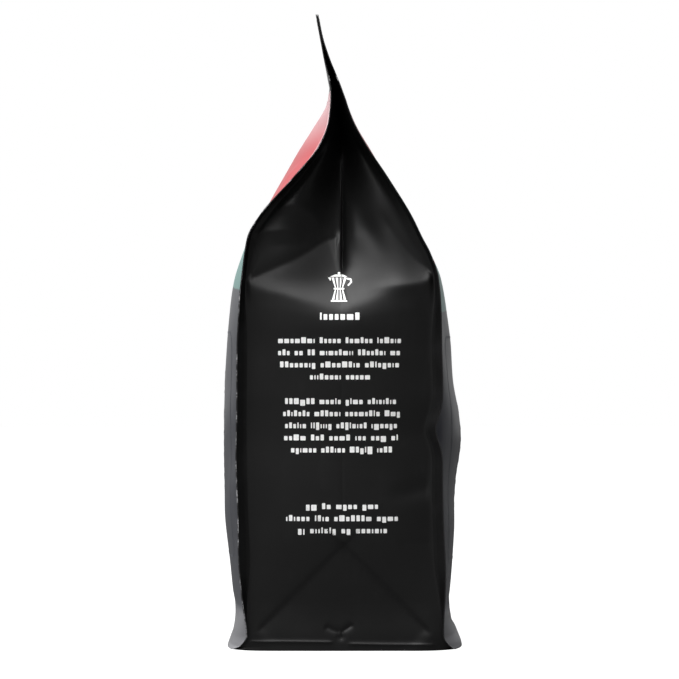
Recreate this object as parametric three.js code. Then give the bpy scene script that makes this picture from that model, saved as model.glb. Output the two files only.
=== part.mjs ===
// A filled and sealed coffee bag of the flat-bottomed kind with side gussets, standing up.
// One printed plastic film bag: a front and a back panel, two gussets that fold inwards towards the
// top, a flat base, a sealed margin along every edge, and a flat sealed top that leans to the front.
// Millimetres. X runs across the front panel, Y from the front (-) to the back (+), and Z is up.
import * as THREE from "three";
import { mergeVertices } from "three/addons/utils/BufferGeometryUtils.js";

// Film sizes, as the bag is cut and sealed
const PANEL_BETWEEN_SEALS = 125;
const SEAL_WIDTH = 5;
const SEAL_THICKNESS = 0.45;
const GUSSET_HALF_WIDTH = 39.1;
const CORNER_RADIUS = 7;
const STANDING_HEIGHT = 255;

// Where the form changes on the way up
const HEM_HEIGHT = 5;
const SEALS_FREE_HEIGHT = 20;
const GUSSET_FULL_HEIGHT = 50;
const GUSSET_EASES = { from: 128, to: 150 };
const SPLAY_FADES = { from: 120, to: 150 };
const SPLAY_ENDS = { from: 200, to: 230 };
const CREASE_CENTRES = { from: 185, to: 208 };
const TOP_TWISTS = { from: 215, to: 236 };
const TEAR_NOTCH_HEIGHT = 231;
const SLIT_STARTS_HEIGHT = 235;
const TOP_SEAL_HEIGHT = 244;

// How far things stand out
const GUSSET_BULGE = 6;
const GUSSET_EASED_SHARE = 0.5;
const SEAL_SPLAY = 3.5;
const ROOF_SEAL_SPLAY = 1;
const TOP_SEAL_SPLAY = 0;
const HEM_OFFSET = 63.7;
const HEM_RIDGE_OFFSET = 63.5;
const HEM_SEAL_WIDTH = 1;
const LEAST_SEAL_REACH = 0.55;
const TEAR_NOTCH_DEPTH = 2.6;
const TEAR_NOTCH_HALF_HEIGHT = 2.2;
const TOP_SLIT_DEPTH = 0.9;
const TOP_TWIST = 1.6;
const CREASE_OFFSET = -0.6;
const PANEL_FULLNESS = 2.4;
const HEM_PANEL_FULLNESS = 7;
const GUSSET_FULLNESS = 2.2;
const HEM_FULLNESS = 9;

// Where each half of a gusset tucks in over the filling: a sloping roof starts from a line that
// falls from the shoulder corner to the crease, flattens on the way up, meets the folded film along
// a soft ridge, and closes to the folded film under the top seal.
const ROOF = {
  creaseHeight: 137.5,
  lineBend: 0.3,
  startSoftness: 3,
  creaseSlope: 0.7,
  steepensFrom: 0.25,
  flattensOver: 15,
  flattenedShare: 0.72,
  leastSoftness: 1e-6,
};
const ROOF_SOFTENS = { from: 100, to: 135 };
const ROOF_CLOSES = { from: 195, to: 225 };
const FRONT_ROOF = {
  cornerHeight: 148.5,
  cornerSlope: 0.12,
  addedSlope: 0.03,
  ridgeSoftness: 3,
  creaseSoftness: 6,
};
const BACK_ROOF = {
  cornerHeight: 151.5,
  cornerSlope: 0.28,
  addedSlope: 0.08,
  ridgeSoftness: 12,
  creaseSoftness: 10,
};

// A knock in the near back seal, where its edge bends in
const KNOCK = { height: 89, halfHeight: 7, depth: 2.9 };

// The side view: how far forward or back each line of the bag lies at each height
const SIDE_VIEW = [
  { height: 0, frontSeal: -44.8, backSeal: 46, frontMiddle: -47, backMiddle: 49.4 },
  { height: 1.6, frontSeal: -41.2, backSeal: 43.6, frontMiddle: -46.2, backMiddle: 49 },
  { height: 6, frontSeal: -38.5, backSeal: 41, frontMiddle: -44.9, backMiddle: 46.3 },
  { height: 12, frontSeal: -39, backSeal: 41, frontMiddle: -44.2, backMiddle: 44.9 },
  { height: 21, frontSeal: -40, backSeal: 41.2, frontMiddle: -45.6, backMiddle: 45.2 },
  { height: 45, frontSeal: -41.2, backSeal: 40.6, frontMiddle: -48.3, backMiddle: 46.9 },
  { height: 66, frontSeal: -42, backSeal: 40, frontMiddle: -49.3, backMiddle: 47.9 },
  { height: 84, frontSeal: -42.3, backSeal: 40.4, frontMiddle: -49.7, backMiddle: 49.8 },
  { height: 93, frontSeal: -42.3, backSeal: 40.4, frontMiddle: -49.8, backMiddle: 49.2 },
  { height: 108, frontSeal: -42.2, backSeal: 40.4, frontMiddle: -49.4, backMiddle: 46.9 },
  { height: 122, frontSeal: -42, backSeal: 39.9, frontMiddle: -48.4, backMiddle: 46 },
  { height: 135, frontSeal: -41.3, backSeal: 39.4, frontMiddle: -47, backMiddle: 44 },
  { height: 150, frontSeal: -40.1, backSeal: 38.6, frontMiddle: -44.7, backMiddle: 41 },
  { height: 159, frontSeal: -39.2, backSeal: 35.8, frontMiddle: -42, backMiddle: 37.2 },
  { height: 166, frontSeal: -38.1, backSeal: 32.2, frontMiddle: -39.2, backMiddle: 33 },
  { height: 175, frontSeal: -33, backSeal: 27.8, frontMiddle: -33.8, backMiddle: 28.2 },
  { height: 190, frontSeal: -19.6, backSeal: 18.6, frontMiddle: -26, backMiddle: 19.6 },
  { height: 203, frontSeal: -9.2, backSeal: 9.8, frontMiddle: -19, backMiddle: 12.2 },
  { height: 213, frontSeal: -5.4, backSeal: 4.4, frontMiddle: -12.6, backMiddle: 6 },
  { height: 223, frontSeal: -4.6, backSeal: 0.9, frontMiddle: -6.2, backMiddle: 1.4 },
  { height: 229, frontSeal: -5.2, backSeal: -1.3, frontMiddle: -5.2, backMiddle: -1.3 },
  { height: 237, frontSeal: -7.2, backSeal: -4.6, frontMiddle: -7.2, backMiddle: -4.6 },
  { height: 247, frontSeal: -9, backSeal: -7.8, frontMiddle: -9, backMiddle: -7.8 },
  { height: 255, frontSeal: -10.5, backSeal: -9.4, frontMiddle: -10.5, backMiddle: -9.4 },
];

// Mesh counts: steps across each quarter of a section, and steps up each zone of the bag
const PANEL_STEPS = 8;
const GUSSET_STEPS = 8;
const GUSSET_SPACING = 1.3;
const SHOULDER_STARTS_HEIGHT = 132;
const SHOULDER_ENDS_HEIGHT = 188;
const ZONES = [
  { top: HEM_HEIGHT, steps: 3 },
  { top: SEALS_FREE_HEIGHT, steps: 4 },
  { top: SHOULDER_STARTS_HEIGHT, steps: 13 },
  { top: SHOULDER_ENDS_HEIGHT, steps: 17 },
  { top: TEAR_NOTCH_HEIGHT - TEAR_NOTCH_HALF_HEIGHT, steps: 8 },
  { top: TEAR_NOTCH_HEIGHT + TEAR_NOTCH_HALF_HEIGHT, steps: 2 },
  { top: TOP_SEAL_HEIGHT, steps: 3 },
  { top: STANDING_HEIGHT, steps: 2 },
];

const { lerp, smoothstep, clamp } = THREE.MathUtils;

// 0 below a range of heights, 1 above it, and an even S-curve inside it.
function within(height, range) {
  return smoothstep(height, range.from, range.to);
}

// The slope of a side-view line at a station: the weighted harmonic mean of the slopes on either
// side, and none where the line turns back, so that the curve never swings past its stations.
function stationSlope(line, i) {
  const rise = (k) =>
    (SIDE_VIEW[k + 1][line] - SIDE_VIEW[k][line]) / (SIDE_VIEW[k + 1].height - SIDE_VIEW[k].height);
  if (i === 0) return rise(0);
  if (i === SIDE_VIEW.length - 1) return rise(i - 1);
  const below = rise(i - 1);
  const above = rise(i);
  return below * above <= 0 ? 0 : (2 * below * above) / (below + above);
}

// Where a side-view line lies at any height, on a smooth curve through the stations.
function sideView(line, height) {
  let i = 0;
  while (i < SIDE_VIEW.length - 2 && height > SIDE_VIEW[i + 1].height) i += 1;
  const low = SIDE_VIEW[i];
  const high = SIDE_VIEW[i + 1];
  const span = high.height - low.height;
  const t = (height - low.height) / span;
  const rest = 1 - t;
  return (
    low[line] * (1 + 2 * t) * rest * rest +
    high[line] * t * t * (3 - 2 * t) +
    span * t * rest * (stationSlope(line, i) * rest - stationSlope(line, i + 1) * t)
  );
}

// How far a seal's free edge stands out, front or back, from the line where it leaves the bag.
function sealSplay(height) {
  const body = SEAL_SPLAY * smoothstep(height, HEM_HEIGHT, 2 * SEALS_FREE_HEIGHT);
  const roof = lerp(body, ROOF_SEAL_SPLAY, within(height, SPLAY_FADES));
  return lerp(roof, TOP_SEAL_SPLAY, within(height, SPLAY_ENDS));
}

// How far a seal's free edge stands out sideways. The margin shrinks into the corner at the hem.
function sealReach(height, splay) {
  const width = lerp(HEM_SEAL_WIDTH, SEAL_WIDTH, smoothstep(height, HEM_HEIGHT, SEALS_FREE_HEIGHT));
  const fromNotch = Math.abs(height - TEAR_NOTCH_HEIGHT) / TEAR_NOTCH_HALF_HEIGHT;
  const notch = TEAR_NOTCH_DEPTH * Math.max(0, 1 - fromNotch);
  return Math.max(Math.sqrt(Math.max(width * width - splay * splay, 0)), LEAST_SEAL_REACH) - notch;
}

// How far the rounded lower corner draws the seal in.
function cornerDrawnIn(height) {
  const left = Math.max(0, CORNER_RADIUS - height);
  return CORNER_RADIUS - Math.sqrt(CORNER_RADIUS * CORNER_RADIUS - left * left);
}

// The knock in the near back seal, as a smooth dent.
function knock(height) {
  return KNOCK.depth * Math.exp(-(((height - KNOCK.height) / KNOCK.halfHeight) ** 2));
}

// Every measure that one section of the bag needs.
function sectionSizes(height) {
  const splay = sealSplay(height);
  const front = sideView("frontSeal", height);
  const back = sideView("backSeal", height);
  const frontRoot = front + splay;
  const backRoot = back - splay;
  const crown = Math.max(
    frontRoot - sideView("frontMiddle", height),
    sideView("backMiddle", height) - backRoot,
  );
  const drawnIn = (4 * crown * crown) / (3 * PANEL_BETWEEN_SEALS);
  const nearHem = 1 - smoothstep(height, HEM_HEIGHT, SEALS_FREE_HEIGHT);
  const hemRoot = HEM_RIDGE_OFFSET - HEM_SEAL_WIDTH;
  const straightRoot = lerp(PANEL_BETWEEN_SEALS / 2 - drawnIn, hemRoot, nearHem);
  const rootX = straightRoot - cornerDrawnIn(height);
  const half = (backRoot - frontRoot) / 2 - SEAL_THICKNESS;
  const folded = Math.sqrt(Math.max(GUSSET_HALF_WIDTH ** 2 - half ** 2, 0));
  const bulge =
    GUSSET_BULGE *
    smoothstep(height, HEM_HEIGHT, GUSSET_FULL_HEIGHT) *
    (1 - GUSSET_EASED_SHARE * within(height, GUSSET_EASES));
  const hemFace = lerp(HEM_OFFSET, HEM_RIDGE_OFFSET, smoothstep(height, 0, HEM_HEIGHT));
  const middle = (frontRoot + backRoot) / 2;
  return {
    front,
    back,
    frontRoot,
    backRoot,
    rootX,
    sealX: rootX + sealReach(height, splay),
    frontMiddle: sideView("frontMiddle", height),
    backMiddle: sideView("backMiddle", height),
    outwards: lerp(bulge, hemFace - rootX, nearHem),
    folded,
    slit: smoothstep(height, SLIT_STARTS_HEIGHT, TOP_SEAL_HEIGHT),
    creaseY: lerp(CREASE_OFFSET, middle, within(height, CREASE_CENTRES)),
    fullness: lerp(GUSSET_FULLNESS, HEM_FULLNESS, nearHem),
    panelFullness: lerp(PANEL_FULLNESS, HEM_PANEL_FULLNESS, nearHem),
  };
}

// The smaller of two depths, rounded where they meet.
function softLeast(a, b, softness) {
  const mix = clamp(0.5 + (0.5 * (b - a)) / softness, 0, 1);
  return lerp(b, a, mix) - softness * mix * (1 - mix);
}

// How far in from its seam a gusset's film lies, a share of the way from the seam to the crease.
function gussetDepth(size, height, share, roof) {
  if (share === 0) return 0;
  const bulged = -size.outwards * (1 - (1 - share) ** size.fullness);
  const alongLine = share * (1 + ROOF.lineBend - ROOF.lineBend * share);
  const above = height - lerp(roof.cornerHeight, ROOF.creaseHeight, alongLine);
  const rise = 0.5 * (above + Math.hypot(above, ROOF.startSoftness));
  const reached = ROOF.flattensOver * (1 - Math.exp(-rise / ROOF.flattensOver));
  const steepened = smoothstep(share, ROOF.steepensFrom, 1);
  const added = 4 * roof.addedSlope * share * (1 - share);
  const slope = lerp(roof.cornerSlope, ROOF.creaseSlope, steepened) + added;
  const flat = size.folded * share;
  const open = bulged + slope * lerp(rise, reached, ROOF.flattenedShare);
  const sloping = lerp(open, flat, within(height, ROOF_CLOSES));
  const ridge = share * lerp(roof.ridgeSoftness, roof.creaseSoftness, share ** 4);
  const softness = Math.max(ridge * within(height, ROOF_SOFTENS), ROOF.leastSoftness);
  const tucked = softLeast(sloping, flat, softness);
  return lerp(tucked, TOP_SLIT_DEPTH * share, size.slit);
}

// A quarter of a section, from the middle of a panel round the seal and along the gusset to its
// crease. side is -1 for the front and 1 for the back.
function quarter(size, height, side) {
  const points = [];
  const middle = side < 0 ? size.frontMiddle : size.backMiddle;
  const root = side < 0 ? size.frontRoot : size.backRoot;
  const edge = side < 0 ? size.front : size.back;
  const crown = middle - root;
  const roof = side < 0 ? FRONT_ROOF : BACK_ROOF;
  for (let i = 0; i <= PANEL_STEPS; i += 1) {
    const share = Math.sin((Math.PI / 2) * (i / PANEL_STEPS));
    points.push([size.rootX * share, root + crown * (1 - share ** size.panelFullness)]);
  }
  points.push([size.sealX, edge]);
  points.push([size.sealX, edge - side * SEAL_THICKNESS]);
  const innerRoot = root - side * SEAL_THICKNESS;
  const half = innerRoot - size.creaseY;
  for (let i = 0; i <= GUSSET_STEPS; i += 1) {
    const share = (i / GUSSET_STEPS) ** GUSSET_SPACING;
    points.push([size.rootX - gussetDepth(size, height, share, roof), innerRoot - half * share]);
  }
  return points;
}

// How far back a point of the leaning top stands: the top leans less on its far side.
function twist(x, height) {
  return TOP_TWIST * (0.5 - x / PANEL_BETWEEN_SEALS) * within(height, TOP_TWISTS);
}

// One closed section, anticlockwise from above, starting at the right-hand gusset's crease.
function section(height) {
  const size = sectionSizes(height);
  const front = quarter(size, height, -1);
  const back = quarter(size, height, 1);
  const dent = knock(height);
  const backRight = back.map(([x, y], i) => {
    const near = smoothstep(i, PANEL_STEPS - 2, PANEL_STEPS + 1);
    const onGusset = 1 - smoothstep(i, PANEL_STEPS + 3, PANEL_STEPS + 3 + GUSSET_STEPS);
    return [x, y - dent * near * onGusset];
  });
  const mirrored = (points) => points.map(([x, y]) => [-x, y]);
  const ring = [
    ...[...backRight].reverse(),
    ...mirrored(back).slice(1),
    ...mirrored(front).slice(0, -1).reverse(),
    ...front.slice(1, -1),
  ];
  return ring.map(([x, y]) => [x, y + twist(x, height)]);
}

// The heights of all sections, zone by zone.
function heights() {
  const levels = [0];
  for (const zone of ZONES) {
    const from = levels[levels.length - 1];
    for (let i = 1; i <= zone.steps; i += 1) levels.push(lerp(from, zone.top, i / zone.steps));
  }
  return levels;
}

// The bag's outer surface: a skin over all sections, shut by a flat face at each end.
function bagGeometry() {
  const levels = heights();
  const rings = levels.map(section);
  const count = rings[0].length;
  const positions = rings.flatMap((ring, i) => ring.flatMap(([x, y]) => [x, y, levels[i]]));
  const faces = [];
  for (let row = 0; row < rings.length - 1; row += 1) {
    for (let i = 0; i < count; i += 1) {
      const next = (i + 1) % count;
      const low = row * count;
      const high = low + count;
      faces.push(low + i, low + next, high + next, low + i, high + next, high + i);
    }
  }
  const shut = (ring, first, turned) => {
    const outline = ring.map(([x, y]) => new THREE.Vector2(x, y));
    for (const [a, b, c] of THREE.ShapeUtils.triangulateShape(outline, [])) {
      faces.push(first + a, first + (turned ? c : b), first + (turned ? b : c));
    }
  };
  shut(rings[0], 0, true);
  shut(rings[rings.length - 1], (rings.length - 1) * count, false);
  const geometry = new THREE.BufferGeometry();
  geometry.setAttribute("position", new THREE.Float32BufferAttribute(positions, 3));
  geometry.setIndex(faces);
  const merged = mergeVertices(geometry, 1e-4);
  merged.computeVertexNormals();
  return merged;
}

// Matt black printed film.
function filmMaterial() {
  return new THREE.MeshStandardMaterial({ color: 0x1c1c1d, roughness: 0.45, metalness: 0 });
}

const coffeeBag = new THREE.Group();
const bag = new THREE.Mesh(bagGeometry(), filmMaterial());
bag.name = "bag";
coffeeBag.add(bag);

export default coffeeBag;
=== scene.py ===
"""The looks of a filled, sealed coffee bag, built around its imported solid.

The bag is one bag of printed film: a front and a back panel, two side gussets that fold inwards
towards the top, a flat base, a sealed margin along every edge and a flat sealed top that leans to
the front. The frame is in metres, with X across the front panel, Y from the front (-) to the back
(+) and Z up. Lengths inside the classes are in film millimetres, which the frame's box scales.
"""
import logging
import math
from dataclasses import dataclass
from enum import Enum, IntEnum
from typing import Any, Mapping, Sequence

import bpy
import numpy as np
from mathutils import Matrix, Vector
from mathutils.bvhtree import BVHTree


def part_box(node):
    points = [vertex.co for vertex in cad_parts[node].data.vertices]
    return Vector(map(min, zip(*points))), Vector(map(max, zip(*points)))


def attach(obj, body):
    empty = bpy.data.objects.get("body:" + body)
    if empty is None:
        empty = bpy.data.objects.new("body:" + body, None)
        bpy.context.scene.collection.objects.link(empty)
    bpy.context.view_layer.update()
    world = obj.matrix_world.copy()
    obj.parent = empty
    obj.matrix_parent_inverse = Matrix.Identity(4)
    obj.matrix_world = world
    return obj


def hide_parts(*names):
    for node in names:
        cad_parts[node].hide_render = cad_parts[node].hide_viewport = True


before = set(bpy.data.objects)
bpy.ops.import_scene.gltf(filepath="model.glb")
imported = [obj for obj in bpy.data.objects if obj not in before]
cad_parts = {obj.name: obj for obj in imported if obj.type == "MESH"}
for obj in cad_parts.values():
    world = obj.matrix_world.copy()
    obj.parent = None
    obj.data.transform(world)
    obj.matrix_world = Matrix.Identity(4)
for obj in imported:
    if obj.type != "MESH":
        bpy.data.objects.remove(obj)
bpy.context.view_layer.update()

Array = np.ndarray
Point = tuple[float, float]
Point3 = tuple[float, float, float]
Colour = tuple[float, float, float]
Line = tuple[float, float, float]

LOG = logging.getLogger("coffee_bag")
NODE = "bag"
BODY = "root"


def lerp(low: Any, high: Any, share: Any) -> Any:
    """The value that lies a share of the way from low to high."""
    return low + (high - low) * share


def between(first: Point, second: Point, share: float) -> Point:
    """The point that lies a share of the way from the first one to the second."""
    return lerp(first[0], second[0], share), lerp(first[1], second[1], share)


def smoothstep(value: Any, low: float, high: float) -> Any:
    """0 below low, 1 above high, and an even S-curve between them."""
    share = np.clip((value - low) / (high - low), 0.0, 1.0)
    return share * share * (3.0 - 2.0 * share)


def bell(value: Any, middle: float, half_width: float) -> Any:
    """1 at the middle, and less to both sides in the shape of a bell."""
    return np.exp(-(((value - middle) / half_width) ** 2))


@dataclass(frozen=True)
class Stretch:
    """A stretch of the bag's height that counts in full, with soft ends below and above it."""

    opens_from: float
    opens_to: float
    fades_from: float
    fades_to: float

    def share(self, heights: Array) -> Array:
        """How much each height counts, from 0 to 1."""
        opening = smoothstep(heights, self.opens_from, self.opens_to)
        return opening * (1 - smoothstep(heights, self.fades_from, self.fades_to))


class Face(Enum):
    """A side of the bag, as its outward direction and the direction that reads to the right."""

    NEAR_GUSSET = ((1, 0, 0), (0, 1, 0))
    FAR_GUSSET = ((-1, 0, 0), (0, -1, 0))
    FRONT = ((0, -1, 0), (1, 0, 0))
    BACK = ((0, 1, 0), (-1, 0, 0))

    @property
    def outward(self) -> Vector:
        """The direction that the side faces."""
        return Vector(self.value[0])

    @property
    def rightward(self) -> Vector:
        """The direction that runs to the right for someone who looks at the side."""
        return Vector(self.value[1])


class Zone(IntEnum):
    """What a column of the film's mesh belongs to."""

    PANEL = 0
    SEAL_OUTSIDE = 1
    SEAL_INSIDE = 2
    GUSSET = 3


class Coat(IntEnum):
    """The film's finishes, in the order of its material slots."""

    GUSSET = 0
    PANEL = 1
    CUT_EDGE = 2
    SEAL = 3
    BASE = 4


@dataclass(frozen=True)
class Station:
    """Where the lines of the side view lie at one height, towards the back, in millimetres."""

    height: float
    front_seal: float
    back_seal: float
    front_middle: float
    back_middle: float


@dataclass(frozen=True)
class SideView:
    """The bag's lines as seen from the side: both seals, and the middle of both panels."""

    stations: tuple[Station, ...] = (
        Station(0, -44.8, 46, -47, 49.4),
        Station(1.6, -41.2, 43.6, -46.2, 49),
        Station(6, -38.5, 41, -44.9, 46.3),
        Station(12, -39, 41, -44.2, 44.9),
        Station(21, -40, 41.2, -45.6, 45.2),
        Station(45, -41.2, 40.6, -48.3, 46.9),
        Station(66, -42, 40, -49.3, 47.9),
        Station(84, -42.3, 40.4, -49.7, 49.8),
        Station(93, -42.3, 40.4, -49.8, 49.2),
        Station(108, -42.2, 40.4, -49.4, 46.9),
        Station(122, -42, 39.9, -48.4, 46),
        Station(135, -41.3, 39.4, -47, 44),
        Station(150, -40.1, 38.6, -44.7, 41),
        Station(159, -39.2, 35.8, -42, 37.2),
        Station(166, -38.1, 32.2, -39.2, 33),
        Station(175, -33, 27.8, -33.8, 28.2),
        Station(190, -19.6, 18.6, -26, 19.6),
        Station(203, -9.2, 9.8, -19, 12.2),
        Station(213, -5.4, 4.4, -12.6, 6),
        Station(223, -4.6, 0.9, -6.2, 1.4),
        Station(229, -5.2, -1.3, -5.2, -1.3),
        Station(237, -7.2, -4.6, -7.2, -4.6),
        Station(247, -9, -7.8, -9, -7.8),
        Station(255, -10.5, -9.4, -10.5, -9.4),
    )

    def line(self, name: str, heights: Array) -> Array:
        """Where one line lies, on a smooth curve that never swings past its stations.

        Args:
            name: The station's field that holds the line.
            heights: The heights that are asked for.

        Returns:
            One place towards the back for each height.
        """
        at = np.array([station.height for station in self.stations])
        value = np.array([getattr(station, name) for station in self.stations])
        rise = np.diff(value) / np.diff(at)
        slope = np.concatenate(([rise[0]], np.zeros(len(at) - 2), [rise[-1]]))
        onward = rise[:-1] * rise[1:] > 0
        total = np.where(onward, rise[:-1] + rise[1:], 1.0)
        slope[1:-1] = np.where(onward, 2 * rise[:-1] * rise[1:] / total, 0.0)
        i = np.clip(np.searchsorted(at, heights, side="left") - 1, 0, len(at) - 2)
        span = at[i + 1] - at[i]
        t = (heights - at[i]) / span
        rest = 1 - t
        ends = value[i] * (1 + 2 * t) * rest**2 + value[i + 1] * t**2 * (3 - 2 * t)
        return ends + span * t * rest * (slope[i] * rest - slope[i + 1] * t)


@dataclass(frozen=True)
class Roof:
    """How one half of a gusset tucks in over the filling, up to the ridge from its corner."""

    corner_height: float
    corner_slope: float
    added_slope: float
    ridge_softness: float
    middle_softness: float
    middle_height: float = 137.5
    middle_slope: float = 0.7
    flattens_over: float = 15.0
    flattened_share: float = 0.72
    start_lead: float = 0.3
    steepens_from: float = 0.25
    closes_from: float = 195.0
    closes_to: float = 225.0
    softens_from: float = 100.0
    softens_to: float = 135.0
    start_softness: float = 3.0
    softness_power: int = 4
    least_softness: float = 1e-6

    def start(self, share: Array) -> Array:
        """The height where the film starts to slope in, for each share of the way to the crease."""
        early = share * (1 + self.start_lead - self.start_lead * share)
        return lerp(self.corner_height, self.middle_height, early)

    def depth(self, rows: Array, share: Array, bulged: Array, folded: Array) -> Array:
        """How far in the film lies, in rows by shares.

        Args:
            rows: The rows' heights.
            share: The columns' shares of the way from the seam to the crease.
            bulged: How far in the film over the filling would lie, in rows by shares.
            folded: How far in the crease lies where the gusset is folded flat, for each row.

        Returns:
            The smaller of the sloping film's depth and the folded film's, rounded where they meet.
        """
        above = rows[:, None] - self.start(share)
        rise = 0.5 * (above + np.hypot(above, self.start_softness))
        reached = self.flattens_over * (1 - np.exp(-rise / self.flattens_over))
        slope = lerp(self.corner_slope, self.middle_slope, smoothstep(share, self.steepens_from, 1.0))
        slope = slope + 4 * self.added_slope * share * (1 - share)
        flat = folded[:, None] * share
        sloping = bulged + slope * lerp(rise, reached, self.flattened_share)
        sloping = lerp(sloping, flat, smoothstep(rows, self.closes_from, self.closes_to)[:, None])
        softened = smoothstep(rows, self.softens_from, self.softens_to)[:, None]
        middle = share**self.softness_power
        softness = share * lerp(self.ridge_softness, self.middle_softness, middle) * softened
        softness = np.maximum(softness, self.least_softness)
        mix = np.clip(0.5 + 0.5 * (flat - sloping) / softness, 0, 1)
        return lerp(flat, sloping, mix) - softness * mix * (1 - mix)


@dataclass(frozen=True)
class Measures:
    """Every measure of the bag's sections, one value for each height."""

    front: Array
    back: Array
    front_root: Array
    back_root: Array
    root_across: Array
    seal_across: Array
    front_middle: Array
    back_middle: Array
    outwards: Array
    folded: Array
    slit: Array
    crease: Array
    fullness: Array
    panel_fullness: Array


@dataclass(frozen=True)
class BagForm:
    """The bag's outer form: the film's own sizes, and where the form changes on the way up."""

    standing_height: float = 255.0
    panel_between_seals: float = 125.0
    seal_width: float = 5.0
    seal_thickness: float = 0.45
    gusset_half_width: float = 39.1
    corner_radius: float = 7.0
    hem_height: float = 5.0
    seals_free_height: float = 20.0
    splay_full_height: float = 40.0
    bulge_full_height: float = 50.0
    easing_from: float = 128.0
    easing_to: float = 150.0
    eased_share: float = 0.5
    splay_fades_from: float = 120.0
    splay_fades_to: float = 150.0
    top_narrows_from: float = 200.0
    top_narrows_to: float = 230.0
    crease_centres_from: float = 185.0
    crease_centres_to: float = 208.0
    tear_notch_height: float = 231.0
    slit_from: float = 235.0
    top_seal_height: float = 244.0
    gusset_bulge: float = 6.0
    seal_splay: float = 3.5
    roof_seal_splay: float = 1.0
    top_seal_splay: float = 0.0
    hem_seal_width: float = 1.0
    least_reach_squared: float = 0.3
    hem_offset: float = 63.7
    hem_ridge_offset: float = 63.5
    hem_ridge_width: float = 1.0
    tear_notch_depth: float = 2.6
    tear_notch_half_height: float = 2.2
    top_slit_depth: float = 0.9
    top_twist: float = 1.6
    twists_from: float = 215.0
    twists_to: float = 236.0
    crease_offset: float = -0.6
    panel_fullness: float = 2.4
    gusset_fullness: float = 2.2
    hem_fullness: float = 9.0
    hem_panel_fullness: float = 7.0
    front_roof: Roof = Roof(
        148.5, corner_slope=0.12, added_slope=0.03, ridge_softness=3.0, middle_softness=6.0
    )
    back_roof: Roof = Roof(
        151.5, corner_slope=0.28, added_slope=0.08, ridge_softness=12.0, middle_softness=10.0
    )
    side_view: SideView = SideView()

    def splay(self, heights: Array) -> Array:
        """How far a seal's free edge stands out, front or back, from the line it leaves from.

        Args:
            heights: The heights of the sections.

        Returns:
            One distance for each height.
        """
        low = self.seal_splay * smoothstep(heights, self.hem_height, self.splay_full_height)
        fading = smoothstep(heights, self.splay_fades_from, self.splay_fades_to)
        roof = lerp(low, self.roof_seal_splay, fading)
        narrowing = smoothstep(heights, self.top_narrows_from, self.top_narrows_to)
        return lerp(roof, self.top_seal_splay, narrowing)

    def seal_reach(self, heights: Array, splay: Array) -> Array:
        """How far a seal's free edge stands out sideways, with the tear notch cut into it.

        Args:
            heights: The heights of the sections.
            splay: How far the edge stands out, front or back.

        Returns:
            One distance for each height.
        """
        free = smoothstep(heights, self.hem_height, self.seals_free_height)
        width = lerp(self.hem_seal_width, self.seal_width, free)
        from_notch = np.abs(heights - self.tear_notch_height) / self.tear_notch_half_height
        notch = self.tear_notch_depth * np.clip(1 - from_notch, 0, None)
        return np.sqrt(np.maximum(width**2 - splay**2, self.least_reach_squared)) - notch

    def measures(self, heights: Array) -> Measures:
        """Works out every section's measures.

        Args:
            heights: The heights of the sections.

        Returns:
            The measures, each as one value for every height.
        """
        line = self.side_view.line
        splay = self.splay(heights)
        front = line("front_seal", heights)
        back = line("back_seal", heights)
        front_middle = line("front_middle", heights)
        back_middle = line("back_middle", heights)
        front_root = front + splay
        back_root = back - splay
        crown = np.maximum(front_root - front_middle, back_middle - back_root)
        # half of what a shallow arc takes from the panel's width
        drawn_in = 4 * crown**2 / (3 * self.panel_between_seals)
        near_hem = 1 - smoothstep(heights, self.hem_height, self.seals_free_height)
        hem_root = self.hem_ridge_offset - self.hem_ridge_width
        straight = lerp(self.panel_between_seals / 2 - drawn_in, hem_root, near_hem)
        left = np.clip(self.corner_radius - heights, 0, None)
        root = straight - self.corner_radius + np.sqrt(self.corner_radius**2 - left**2)
        half = (back_root - front_root) / 2 - self.seal_thickness
        folded = np.sqrt(np.maximum(self.gusset_half_width**2 - half**2, 0))
        rising = smoothstep(heights, self.hem_height, self.bulge_full_height)
        easing = 1 - self.eased_share * smoothstep(heights, self.easing_from, self.easing_to)
        bulge = self.gusset_bulge * rising * easing
        hem_face = lerp(self.hem_offset, self.hem_ridge_offset, smoothstep(heights, 0, self.hem_height))
        outwards = lerp(bulge, hem_face - root, near_hem)
        slit = smoothstep(heights, self.slit_from, self.top_seal_height)
        middle = (front_root + back_root) / 2
        centring = smoothstep(heights, self.crease_centres_from, self.crease_centres_to)
        return Measures(
            front=front,
            back=back,
            front_root=front_root,
            back_root=back_root,
            root_across=root,
            seal_across=root + self.seal_reach(heights, splay),
            front_middle=front_middle,
            back_middle=back_middle,
            outwards=outwards,
            folded=folded,
            slit=slit,
            crease=lerp(self.crease_offset, middle, centring),
            fullness=lerp(self.gusset_fullness, self.hem_fullness, near_hem),
            panel_fullness=lerp(self.panel_fullness, self.hem_panel_fullness, near_hem),
        )

    def twist(self, across: Array, rows: Array) -> Array:
        """How far back the top's far side stands, as the top leans less there."""
        far = 0.5 - across / self.panel_between_seals
        return self.top_twist * far * smoothstep(rows, self.twists_from, self.twists_to)

    def gusset_depth(self, sizes: Measures, rows: Array, share: Array, front: bool) -> Array:
        """How far in from its seam the gusset's film lies.

        Args:
            sizes: The sections' measures.
            rows: The sections' heights.
            share: The columns' shares of the way from the seam to the crease.
            front: Whether this is the gusset's front half.

        Returns:
            The depths, in rows by shares.
        """
        bulged = -sizes.outwards[:, None] * (1 - (1 - share) ** sizes.fullness[:, None])
        roof = self.front_roof if front else self.back_roof
        tucked = roof.depth(rows, share, bulged, sizes.folded)
        return lerp(tucked, self.top_slit_depth * share, sizes.slit[:, None])


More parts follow.
